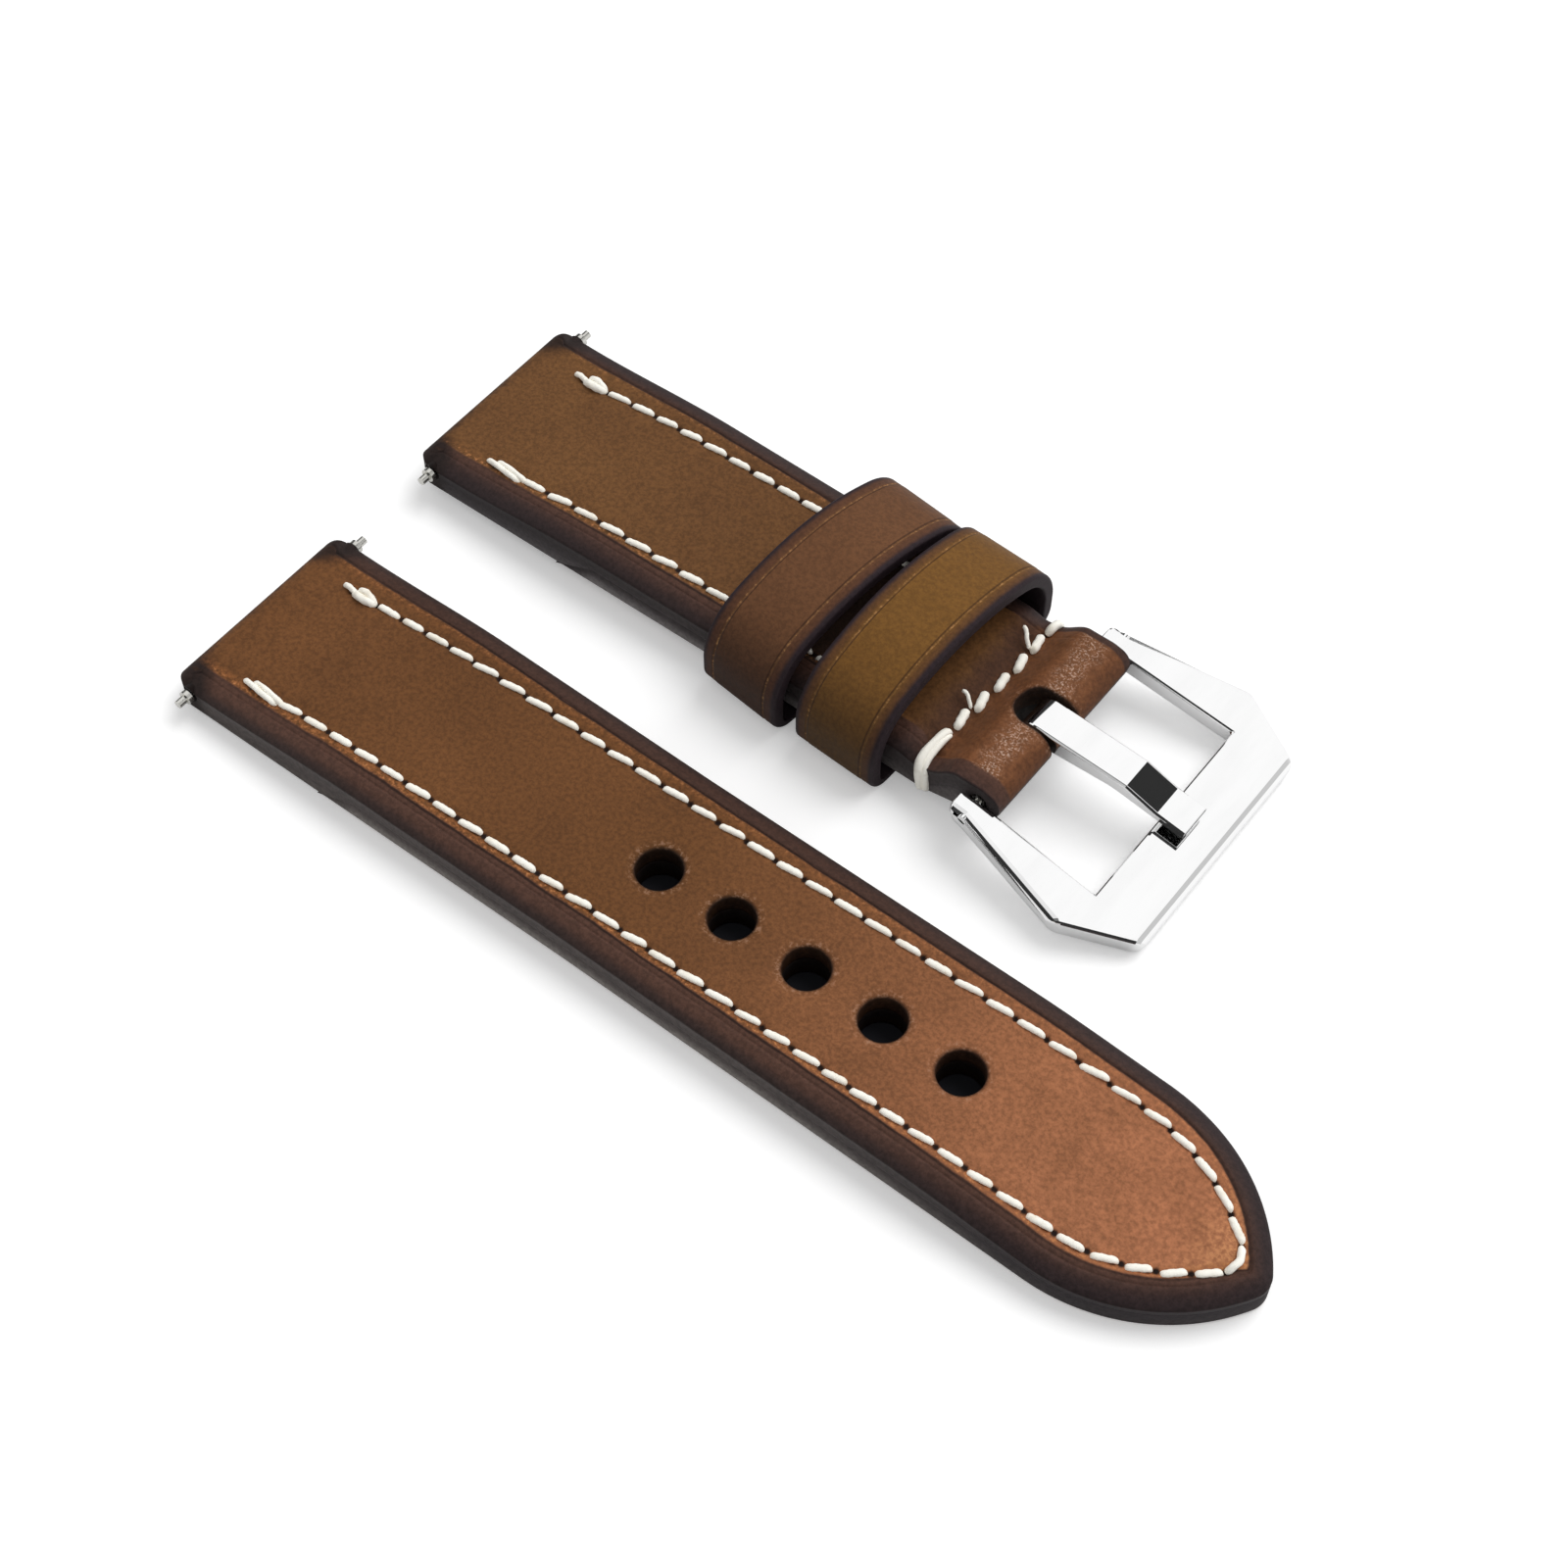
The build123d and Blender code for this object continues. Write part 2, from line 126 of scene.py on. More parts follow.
def joined(runs):
    """Runs of stations as one, each starting where the one before ends."""
    return np.concatenate([run[:-1] for run in runs[:-1]] + [runs[-1]])


# %% [markdown]
# ## Sewing grids together
# Each half is symmetric about its centre line, so only the far side is worked out.  Every
# surface is a grid of points.  The grids share their border points exactly; welding the
# equal points closes the seams, and faces that shrank to a line are left out.

# %% Grids into one closed mesh
def grid_of(*numbers):
    """One grid from x, y and more numbers, each given for a row, a column or every point."""
    return np.stack(np.broadcast_arrays(*numbers), -1)


def cells(rows, columns):
    """Corner numbers of the four-sided faces of a grid."""
    index = np.arange(rows * columns).reshape(rows, columns)
    return np.stack([index[:-1, :-1], index[1:, :-1], index[1:, 1:], index[:-1, 1:]], -1).reshape(-1, 4)


def weld(grids, mirror):
    """Points and faces of all grids as one mesh; mirror adds the copy with y turned over.

    A grid may carry more numbers after x, y and z; they come back with the points."""
    points, faces, start = [], [], 0
    for grid in grids:
        for copy in ([1, -1] if mirror else [1]):
            rows, columns, size = grid.shape
            flat = grid.reshape(-1, size) * [1, copy, *[1] * (size - 2)]
            quads = cells(rows, columns) + start
            points.append(flat)
            faces.append(quads[:, ::copy])
            start += len(flat)
    points, faces = np.concatenate(points), np.concatenate(faces)
    keys = np.round(points[:, :3] * 2000).astype(np.int64)
    _, first, same = np.unique(keys, axis=0, return_index=True, return_inverse=True)
    return points[first], same.reshape(-1)[faces]


def mesh_of(name, points, quads, attributes):
    """Write points in mm and four-sided faces into a mesh; a face with equal corners loses them."""
    following = np.roll(quads, -1, axis=1)
    keep = quads != following
    keep &= ~((quads[:, [0]] == quads[:, [2]]) | (quads[:, [1]] == quads[:, [3]]))
    counts = keep.sum(1)
    good = counts >= 3
    corners, counts = quads[good][keep[good]], counts[good]
    mesh = bpy.data.meshes.new(name)
    mesh.vertices.add(len(points))
    mesh.vertices.foreach_set("co", (points * MM).astype(np.float32).ravel())
    mesh.loops.add(len(corners))
    mesh.loops.foreach_set("vertex_index", corners.astype(np.int32))
    mesh.polygons.add(len(counts))
    mesh.polygons.foreach_set("loop_start", (np.cumsum(counts) - counts).astype(np.int32))
    mesh.polygons.foreach_set("loop_total", counts.astype(np.int32))
    for key, values in attributes.items():
        mesh.attributes.new(key, "FLOAT", "POINT").data.foreach_set("value", values.astype(np.float32))
    mesh.update(calc_edges=True)
    mesh.validate()
    shell = bmesh.new()
    shell.from_mesh(mesh)
    loose = [v for v in shell.verts if not v.link_faces]
    bmesh.ops.delete(shell, geom=loose, context="VERTS")
    bmesh.ops.recalc_face_normals(shell, faces=shell.faces)
    open_edges = sum(not e.is_manifold for e in shell.edges)
    shell.to_mesh(mesh)
    shell.free()
    mesh.shade_smooth()
    print(f"{name}: {len(mesh.polygons)} faces, {open_edges} open edges")
    return mesh


def put_in_scene(name, data):
    """An object of a mesh, a lamp or a camera."""
    obj = bpy.data.objects.new(name, data)
    bpy.context.scene.collection.objects.link(obj)
    return obj


def piece(name, surface, body, nodes, material):
    """Put a surface into the scene as a mesh, on its body, in place of its CAD nodes."""
    mesh = mesh_of(name, *surface)
    mesh.materials.append(material)
    obj = put_in_scene(name, mesh)
    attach(obj, body)
    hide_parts(*nodes)


print("a grid of 3 x 4 points has", len(cells(3, 4)), "faces")

# %% [markdown]
# ## Shader maths
# Leather is a stack of small effects: dye that pools at the edges, a fine grain, darker
# awl holes.  Written as plain sums and products they stay readable, so one class wraps a
# socket and lets Python's operators add the Math nodes.

# %% Socket arithmetic and a finish
def math_node(operation, turned=False):
    """One operator of Wire; turned puts the wire last, as in 1 - wire."""
    def operator(self, *others):
        values = (*others, self) if turned else (self, *others)
        return self.finish.node("ShaderNodeMath", {"operation": operation}, dict(enumerate(values)))
    return operator


class Wire:
    """What a socket gives out; arithmetic on it adds Math nodes."""

    def __init__(self, finish, socket):
        self.finish, self.socket = finish, socket

    __add__ = __radd__ = math_node("ADD")
    __mul__ = __rmul__ = math_node("MULTIPLY")
    __sub__, __rsub__ = math_node("SUBTRACT"), math_node("SUBTRACT", turned=True)
    __abs__, most, over = math_node("ABSOLUTE"), math_node("MAXIMUM"), math_node("GREATER_THAN")

    def rise(self, low, high):
        """0 below low, 1 above high, eased between; low above high turns it over."""
        if low > high:
            return 1 - self.rise(high, low)
        values = {"Value": self, "From Min": low, "From Max": high}
        return self.finish.node("ShaderNodeMapRange", {"interpolation_type": "SMOOTHSTEP"}, values)


def dye(red, green, blue):
    """A colour from the 0 to 255 numbers of a swatch, as linear light."""
    channel = np.array([red, green, blue]) / 255
    linear = np.where(channel < 0.04045, channel / 12.92, ((channel + 0.055) / 1.055) ** 2.4)
    return tuple(float(v) for v in linear)


class Finish:
    """The nodes of one material, and the few moves that make it."""

    def __init__(self, name, **shader_values):
        self.material = bpy.data.materials.new(name)
        self.material.use_nodes = True
        self.start(self.material.node_tree, "ShaderNodeBsdfPrincipled", "ShaderNodeOutputMaterial", "Object")
        self.feed(self.shader, shader_values)

    def start(self, tree, shader, output, coordinates):
        """Empty a tree, link a shader to its output, and find the place that is being shaded."""
        tree.nodes.clear()
        self.tree, self.shader = tree, tree.nodes.new(shader)
        tree.links.new(self.shader.outputs[0], tree.nodes.new(output).inputs["Surface"])
        self.place = self.node("ShaderNodeTexCoord", {}, {}, coordinates)

    def feed(self, node, values):
        """Set or link sockets of a node, by name or number."""
        for key, value in values.items():
            socket = node.inputs[key]
            if isinstance(value, Wire):
                self.tree.links.new(value.socket, socket)
            elif isinstance(value, tuple) and len(value) == 3 and socket.type == "RGBA":
                socket.default_value = (*value, 1.0)
            else:
                socket.default_value = value

    def node(self, kind, settings, values, output=0):
        """Any node: its settings first, then its sockets; gives back one output."""
        node = self.tree.nodes.new(kind)
        for key, value in settings.items():
            setattr(node, key, value)
        self.feed(node, values)
        return Wire(self, node.outputs[output])

    def axis(self, name):
        """One coordinate of the place: X, Y or Z."""
        return self.node("ShaderNodeSeparateXYZ", {}, {0: self.place}, name)

    def ray(self, kind):
        """1 for rays of a kind, Camera or Glossy, else 0."""
        return self.node("ShaderNodeLightPath", {}, {}, f"Is {kind} Ray")

    def noise(self, scale, detail=2.0, roughness=0.5, stretch=(1.0, 1.0, 1.0)):
        """Cloudy noise with so many lumps per metre; a stretch below 1 draws it out along that axis."""
        place = self.node("ShaderNodeMapping", {}, {"Vector": self.place, "Scale": stretch})
        values = {"Vector": place, "Scale": scale, "Detail": detail, "Roughness": roughness}
        return self.node("ShaderNodeTexNoise", {}, values)

    def attribute(self, name):
        """A number that the mesh carries at each point."""
        return self.node("ShaderNodeAttribute", {"attribute_name": name}, {}, "Fac")

    def mix(self, factor, low, high, blend="MIX"):
        """One colour into another."""
        settings = {"data_type": "RGBA", "blend_type": blend}
        return self.node("ShaderNodeMix", settings, {0: factor, 6: low, 7: high}, 2)

    def coats(self, color, *layers):
        """Coats over a colour: each has an amount, and a swatch or a colour made before."""
        for amount, coat in layers:
            color = self.mix(amount, color, coat if isinstance(coat, Wire) else dye(*coat))
        return color

    def bump(self, height, distance, strength=1.0):
        """Turn a height into small bumps, distance in metres."""
        values = {"Height": height, "Distance": distance, "Strength": strength}
        self.feed(self.shader, {"Normal": self.node("ShaderNodeBump", {}, values)})

    def finished(self, color, roughness):
        """Give the shader its colour and roughness, and hand over the material."""
        self.feed(self.shader, {"Base Color": color, "Roughness": roughness})
        print(f"{self.material.name}: {len(self.tree.nodes)} nodes")
        return self.material


print("a brown swatch as linear light:", [round(v, 3) for v in dye(103, 66, 36)])

# %% [markdown]
# ## Waxed, edge-dyed leather
# The hide is dyed through in a warm brown, with a soft mottle and a fine grain.  Its
# edges are bevelled, painted and burnished nearly black, and the dye creeps a little way
# in.  The meshes carry three distances: from the outline, from the nearest awl hole and
# from the nearest punched hole.  The finish darkens by the outline as dye does, with
# noise to make the borders uneven as brushed dye is; in the awl holes and inside the
# punched holes the darkening is painted shade.

# %% What all leathers share
class Leather(Finish):
    """A finish with the noises, the distance from the outline and the fine bump of leather.

    Its body is a cloudy mixture of two swatches.  Uneven is a number around 0 that makes
    borders ragged; streaks says how much of it follows the fibres."""

    def __init__(self, name, main, light, streaks=0.9):
        super().__init__(name, **{"Specular IOR Level": 0.2})
        self.inset = self.attribute("inset")
        self.mottle = self.noise(130, 4.0, 0.6)
        self.grain = self.noise(2300, 3.0, 0.7)
        self.fleck = self.grain.rise(0.5, 0.68)
        cloud = self.noise(38, 2.0, 0.5, (1.0, 1.6, 1.0))
        fibre = self.noise(800, 3.0, 0.6, (0.35, 1.0, 1.0))
        self.uneven = (fibre - 0.5) * streaks + (self.mottle - 0.5) * 0.8
        self.body = self.mix(cloud.rise(0.3, 0.75), dye(*main), dye(*light))
        self.bump(self.grain * 0.7 + fibre * 0.5 + self.mottle * 0.7, 0.00007, 0.6)

    def freckled(self, color, strength):
        """Lighter and darker specks over any colour, as a grey factor around 1."""
        return self.mix(1.0, color, (self.grain.rise(0.3, 0.7) - 0.5) * strength + 1.0, "MULTIPLY")


# %% [markdown]
# An edge is built up as it is in the workshop, from the stitches outwards: an ochre
# margin, a pressed crease line, the dyed bevel, and the painted side.  Each is one coat
# whose amount rises and falls with the distance from the outline, so that a coat can be
# moved or left out without touching the others.  Painted light goes over the dye: the
# near bevel and margin are painted lighter than the far ones, and the side grows lighter
# towards its foot as painted bounce light from the table.

# %% The dyed edge
def edge_dye(leather, body, inset, ochre, wear_and_light):
    """The coats of an edge over the body colour, by the distance from the outline.

    The dictionary of wear and light holds how strong the crease and the margin are, how
    nearly black the edge is, how pale its foot is as painted bounce light, and near, 1 on the
    near side, whose dye reaches a little further in and whose bevel and margin are painted
    lighter than the far side's as painted light."""
    near, uneven = wear_and_light["near"], leather.uneven
    edge = inset * (1 - near * wear_and_light["reach"]) + uneven * 0.3
    # The ochre margin is weaker on the far side: painted shade.
    margin = wear_and_light["margin"] * (near * 0.6 + 0.4)
    # The near bevel is painted lighter than the far one: painted light and shade.
    bevel = leather.mix(near, dye(65, 44, 36), dye(80, 55, 45))
    # The side is lighter towards its foot: painted bounce light from the table.
    side = leather.mix((inset + uneven * 0.5).rise(-1.6, -4.0), dye(76, 69, 67), dye(98, 91, 87))
    # With foot 1 the dark side is also lighter towards its foot: painted bounce light.
    dark = leather.mix(inset.rise(-0.6, -4.2) * wear_and_light["foot"], dye(38, 32, 35), dye(96, 92, 94))
    side = leather.mix(wear_and_light["shade"] * 0.9, side, dark)
    return leather.coats(
        body,
        (edge.rise(3.2, 2.6) * leather.grain.rise(0.3, 0.6) * margin * 0.5, ochre),
        (abs(edge - 2.4).rise(0.24, 0.06) * leather.fleck * margin * 0.6, (180, 121, 76)),
        (edge.rise(2.35, 2.05), bevel),
        (edge.rise(1.1, 0.2), (52, 39, 36)),
        (edge.rise(2.2, 0.6) * wear_and_light["shade"] * 0.8, (40, 31, 33)),
        (abs(edge - 2.05).rise(0.16, 0.03) * wear_and_light["crease"], (34, 19, 14)),
        ((inset + uneven * 0.4).rise(0.15, -0.4), side),
        (abs(inset - 0.02).rise(0.15, 0.04) * 0.3, (28, 19, 17)),
        (abs(inset + 2.1).rise(0.13, 0.02) * 0.25, (23, 19, 19)))


# %% [markdown]
# The hole half grows paler towards its tip, with a painted highlight of pale specks at its
# nose.  The buckle half has painted shade under and between the keepers and on the band
# beside the waist, and a painted highlight, a pale band with pale specks, along the crest
# of the fold.  Both halves are darkest at the lug corners; in the awl holes and inside the
# punched holes the dark is painted shade.

# %% The strap's leather
def strap_leather(name, main, light, dark, ochre, shade, tip=None):
    """Waxed leather with a creased, dyed and burnished margin; shade darkens its edges along x.

    The half that has no tip colour is the one with the fold."""
    fold = tip is None
    leather = Leather(name, main, light)
    inset, grain, uneven = leather.inset, leather.grain, leather.uneven
    awl, rim = leather.attribute("awl"), leather.attribute("rim")
    along = leather.axis("X") * 1000 + uneven * 3
    # Near is 1 on the near side, whose edge is painted lighter than the far side's as painted light.
    near = (leather.axis("Y") * 1000 - (BUCKLE_PLACE if fold else HOLE_PLACE)[1]).rise(1.0, -1.0)
    crease, margin = along.rise(-56, -30) * 0.6 + 0.25 - along.rise(20, 45) * 0.3, 1.0
    if fold:
        # Specks for the painted highlight along the crest of the fold.
        waxed = leather.noise(4600, 2.0, 0.7).rise(0.5, 0.66)
        body = leather.coats(
            leather.body,
            # Painted shade under and between the keepers, then on the band beside the waist.
            (abs(along + 8).rise(8.5, 6.0) * 0.9, (32, 25, 25)),
            (along.rise(1.0, 4.0), (72, 47, 34)),
            (along.rise(4.4, 7.2), (112, 70, 43)),
            # Painted highlight along the crest of the fold: a pale band and pale specks.
            (abs(along - 11.0).rise(2.4, 0.2) * 0.3, (151, 106, 77)),
            (abs(along - 11.0).rise(1.9, 0.3) * waxed * 0.5, (214, 189, 172)),
            (along.rise(12.6, 14.0) * 0.5, (79, 49, 34)))
        crease, margin = crease * along.rise(2.0, 0.0), along.rise(1.5, -0.5)
        inset = inset + along.rise(3.5, 5.5) * inset.rise(0.0, 0.2) * 1.25
    else:
        # A painted highlight of pale specks at the nose.
        pale = along.rise(51, 57.5) * grain.rise(0.35, 0.65) * 0.5
        body = leather.coats(leather.body, (along.rise(-10, 62), tip), (pale, (202, 151, 100)))
    body = leather.coats(body, (leather.mottle.rise(0.35, 0.8) * 0.45, dark))
    wear_and_light = {"crease": crease, "margin": margin, "shade": shade(along), "foot": 1.0 if fold else 0.0,
            "near": near, "reach": 0.28 if fold else 0.22}
    corner = (leather.attribute("lug") + uneven * 0.9).rise(5.2, 3.0)
    color = leather.coats(
        edge_dye(leather, body, inset, ochre, wear_and_light),
        (corner * 0.92, (34, 25, 23)),
        (along.rise(-58.8, -60.0) * 0.7, (49, 32, 25)))
    color = leather.coats(
        leather.freckled(color, 0.5),
        # Painted shade in the awl holes and inside the punched holes.
        (awl.rise(0.5, 0.2), (26, 14, 10)),
        ((rim + uneven * 0.2).rise(0.4, -0.1), (28, 19, 15)),
        (rim.rise(-0.05, 0.3) * rim.rise(1.0, 0.4) * leather.fleck * 0.5, (166, 132, 110)))
    polish = 0.6 + grain * 0.12 - inset.rise(2.2, 1.4) * 0.14 + inset.rise(0.0, -1.0) * 0.12
    return leather.finished(color, polish)


def tip_shade(along):
    """The hole half's edges are darkest towards its tip."""
    return along.rise(10, 50)


def end_shade(along):
    """The buckle half's edges are dark all along, most of all at the lug end."""
    return 0.9 - along.rise(-50, -20) * 0.3


HOLE_LEATHER = strap_leather("waxed brown leather", (103, 66, 36), (113, 73, 41), (85, 54, 30),
                             (147, 91, 51), tip_shade, tip=(174, 113, 79))
BUCKLE_LEATHER = strap_leather("waxed olive brown leather", (102, 68, 39), (112, 76, 43), (85, 55, 32),
                               (121, 79, 43), end_shade)


# %% [markdown]
# Keepers are cut from other hides, one golden and one reddish, with a pale crease inside
# each dark margin; lower down a loop's sides the colour darkens as painted shade.  The
# lining is a cheaper plain leather that shows only its painted side, lighter towards its
# foot as painted bounce light, and, from below, its face.

# %% Keeper and lining leather
def keeper_leather(name, main, light, low):
    """A strip with a pale pressed crease inside each margin; the margins are dyed and wiped dark, and the
    loop darkens lower down as painted shade.
    """
    leather = Leather(name, main, light, 0.6)
    inset, uneven = leather.inset, leather.uneven
    height = leather.axis("Z") * 1000 + uneven
    color = leather.coats(
        leather.body,
        # Painted shade: the loop darkens lower down, towards the low swatch.
        (height.rise(12.4, 4.0), low),
        ((inset + uneven * 0.3).rise(1.75, 0.9) * 0.6, (70, 43, 32)),
        (abs(inset - 1.5).rise(0.16, 0.04) * (0.12 + leather.fleck * 0.5), (174, 130, 83)),
        (abs(inset - 1.68).rise(0.14, 0.03) * 0.6, (47, 28, 19)),
        ((inset + uneven * 0.3).rise(0.85, 0.25), (42, 32, 36)))
    return leather.finished(leather.freckled(color, 0.4), 0.58 + leather.grain * 0.12)


def lining_leather(name, shade, foot):
    """The side of the strap again, lighter towards its foot as painted bounce light, and below it a plain
    brown lining with painted shade inside the punched holes.
    """
    leather = Leather(name, (93, 66, 49), (106, 77, 59))
    inset, uneven = leather.inset, leather.uneven
    along = leather.axis("X") * 1000 + uneven * 3
    plain = leather.coats(leather.body, (leather.mottle.rise(0.35, 0.8) * 0.5, (70, 49, 38)))
    # The painted side, lighter towards its foot as painted bounce light from the table.
    side_paint_and_bounce = leather.mix((inset + uneven * 0.3).rise(-0.2, -2.2), dye(78, 71, 69), dye(134, 128, 124))
    # With foot 1 the dark edge is also lighter towards its foot: painted bounce light.
    dark = leather.mix(inset.rise(-0.2, -2.0) * foot, dye(44, 39, 42), dye(116, 112, 114))
    side_paint_and_bounce = leather.mix(shade(along) * 0.9, side_paint_and_bounce, dark)
    color = leather.mix(leather.attribute("under").rise(0.4, 0.6), side_paint_and_bounce, plain)
    # Painted shade inside the punched holes.
    hole = (leather.attribute("rim") + uneven * 0.2).rise(0.4, -0.1)
    color = leather.coats(leather.freckled(color, 0.45), (hole, (28, 19, 15)))
    return leather.finished(color, 0.7 + leather.grain * 0.12)


HOLE_LINING = lining_leather("hole half lining leather", tip_shade, 0.0)
BUCKLE_LINING = lining_leather("buckle half lining leather", end_shade, 1.0)
# A keeper's last swatch is its painted shade lower down the loop.
TAN_LEATHER = keeper_leather("golden keeper leather", (107, 72, 30), (115, 79, 35), (76, 53, 26))
BROWN_LEATHER = keeper_leather("reddish keeper leather", (98, 64, 40), (104, 69, 44), (59, 38, 26))


# %% [markdown]
# ## Waxed linen
# The thread is ivory linen drawn through beeswax, a little grey where dirt has settled
# in its folds.  Its twist is in the shape of each stitch, so the finish adds only soiled
# patches and a fine fuzz; single fibres would not show at this size.

# %% Thread finish
def thread_finish():
    """Waxed ivory linen with soiled patches and a fuzzy surface."""
    linen = Finish("waxed linen", **{"Specular IOR Level": 0.3})
    fuzz = linen.noise(3500, 2.0, 0.6)
    soil = linen.noise(500, 2.0, 0.5)
    color = linen.coats(dye(255, 252, 242), (soil.rise(0.5, 0.8) * 0.45, (226, 212, 184)),
                        (fuzz.rise(0.55, 0.85) * 0.3, (206, 188, 158)))
    linen.bump(fuzz, 0.00006, 0.5)
    return linen.finished(color, 0.6)


THREAD = thread_finish()

# %% [markdown]
# ## Where the stitches go
# The stitches are sewn by hand, so each row has its own pitch and first hole.  At the
# pointed end the rows turn along the arch and meet at its nose.  Everything that follows
# a row, such as the groove it lies in and its awl holes, asks the same function.

# %% Stitch rows
PITCH_TURN_X, ROW_HALF, ROW_NOSE = 102.0, 7.4, 1.5
DRIFT, DRIFT_FADE = 0.55, 7.0
ROW_DROP = SIDE_ARC - ROW_HALF
ROW_ANGLE = asin(sqrt((SIDE_ARC - ROW_NOSE) ** 2 - ROW_DROP ** 2) / (SIDE_ARC - ROW_NOSE))


def arch_row(s, start_x):
    """Point and heading at distance s along a row: straight, then the arch, then its nose."""
    s = np.asarray(s, float)
    straight = PITCH_TURN_X - start_x
    angle = np.clip((s - straight) / SIDE_ARC, 0, ROW_ANGLE)
    past = np.clip(s - straight - SIDE_ARC * ROW_ANGLE, 0, None) / ROW_NOSE
    x = np.minimum(start_x + s, PITCH_TURN_X) + SIDE_ARC * np.sin(angle)
    y = SIDE_ARC * np.cos(angle) - ROW_DROP
    x += ROW_NOSE * (np.sin(angle + past) - np.sin(angle))
    y += ROW_NOSE * (np.cos(angle + past) - np.cos(angle))
    return x, y, -(angle + past)


def drifting_row(s, start_x, side):
    """Points and headings on one row; near the lug end both rows drift towards the viewer."""
    x, y, heading = arch_row(s, start_x)
    y = y - side * DRIFT * np.exp(-(x - 6) / DRIFT_FADE)
    return np.stack([x, side * y], 1), side * heading


def sewn_row(start_x, numbers, reached, side):
    """Stitch middles, headings and awl holes of one row; side is 1 for the far row.

    The stitches named in numbers have their middles at the distances in reached."""
    count, pitch = numbers[-1] + 1, reached[-1] / numbers[-1]
    at = np.interp(np.arange(count), numbers, reached)
    between = np.concatenate([[at[0] - pitch / 2], (at[1:] + at[:-1]) / 2, [at[-1] + (at[-1] - at[-2]) / 2]])
    middle, heading = drifting_row(at, start_x, side)
    awl, _ = drifting_row(between, start_x, side)
    return {"middle": middle, "heading": heading, "awl": awl, "pitch": np.diff(between)}


hole_rows = [sewn_row(9.2, [0, 20, 30, 33], [0, 66.7, 98.4, 107.4], -1),
             sewn_row(8.7, [0, 5, 28, 32], [0, 16.0, 95.0, 107.5], 1)]
buckle_rows = [sewn_row(9.7, [0, 14], [0, 48.3], -1), sewn_row(9.0, [0, 15], [0, 48.0], 1)]
print("stitches:", [len(row["middle"]) for row in hole_rows + buckle_rows])

# %% [markdown]
# ## Heights of the leather
# The strap is two layers of leather.  Its top is flat but for what the maker did to it:
# a bevel along the sides, a crease line inside the bevel, a groove under the stitches
# and a dimple at each awl hole.  Each is a simple bump of the distance to its line, so
# the height at any point is a sum of them.

# %% Height functions
# The inset that points of the underside carry, as if they lay far down the side.
UNDERSIDE = -3.2


def ridge(distance, height, width):
    """A soft ridge along a line, height * exp(-(distance / width)^2); below 0 it is a groove."""
    return height * np.exp(-(distance / width) ** 2)


def lug_round(x):
    """Height of the round lug end above its middle: a quarter circle of one layer."""
    return np.sqrt(np.clip(LAYER ** 2 - np.clip(LAYER - x, 0, None) ** 2, 0, None))


def side_inset(x, y):
    """Distance inwards from the long sides and from the round lug corners."""
    y = np.abs(y)
    side = half_width(x) - y
    corner_y = half_width(CORNER) - CORNER
    reach = np.hypot(CORNER - x, y - corner_y)
    round_in = CORNER - reach
    turn = np.clip((y - corner_y) / np.maximum(reach, 1e-6), 0, 1)
    corner = (x < CORNER) & (y > corner_y)
    return np.where(corner, round_in + 2 * (1 - turn ** 2), side)


def tip_inset(x, y):
    """The same for the hole half, where the sides run into the arch and its nose."""
    y = np.abs(y)
    arch = SIDE_ARC - np.hypot(x - TURN_X, y + ARC_DROP)
    nose = NOSE - np.hypot(x - (HOLE_END - NOSE), y)
    in_nose = (x - (HOLE_END - NOSE)) * ARC_DROP > y * (HOLE_END - NOSE - TURN_X)
    return np.where(x > TURN_X, np.where(in_nose, nose, arch), side_inset(x, y))


def nearest(x, y, spots):
    """Distance to the nearest of some spots, 9 mm at most."""
    best = np.full(np.shape(x), 9.0)
    for spot in spots:
        best = np.minimum(best, np.hypot(x - spot[0], y - spot[1]))
    return best


def waviness(x, y, seed, size):
    """A soft unevenness: six slow waves in seeded directions, size at most."""
    draw = np.random.default_rng(seed)
    total = 0
    for _ in range(6):
        kx, ky, phase = draw.uniform(-0.35, 0.35), draw.uniform(-0.5, 0.5), draw.uniform(0, 2 * pi)
        total = total + np.sin(kx * x + ky * y + phase)
    return total * size / 6


def awl_holes(rows):
    """The awl holes of all rows."""
    return np.concatenate([row["awl"] for row in rows])


def worked_top(x, y, inset, rows, seed):
    """Relief of the upper face: bevel, crease, stitch grooves, awl holes and a gentle crown."""
    bevel = np.clip(1 - inset / BEVEL_ACROSS, 0, 1)
    relief = -BEVEL_DOWN * bevel ** 1.2 - 0.1 * np.clip(1 - inset / 0.25, 0, 1) ** 2
    relief += ridge(inset - 2.0, -0.1, 0.13) + ridge(inset - 2.7, 0.05, 0.35)
    awl = awl_holes(rows)
    first_x = awl[:, 0].min()
    row_y = np.where(x > PITCH_TURN_X, SIDE_ARC - np.hypot(x - PITCH_TURN_X, np.abs(y) + ROW_DROP),
                     ROW_HALF - np.abs(y))
    relief += ease(first_x - 2.0, first_x - 0.5, x) * ridge(row_y, -0.13, 0.55)
    relief += ridge(nearest(x, y, awl), -0.3, 0.3)
    relief += waviness(x, y, seed, 0.06) * ease(0.5, 3.0, inset)
    return relief * ease(-0.2, 2.0, x)


print("the lug end rises", round(float(lug_round(0.5)), 2), "mm within 0.5 mm")

# %% [markdown]
# ## A grid that follows the outline
# The far side of a half is one band of rings, from the outline inwards, and one strip
# from the innermost ring to the centre line.  A ring runs along the lug end, round its
# corner, down the side and, on the hole half, round the arch.  Deep inside, where an arc
# has shrunk to nothing, its points fall together.  The strip's lines open round the
# punched holes and the buckle slot, so those are part of the grid and need no cutting.

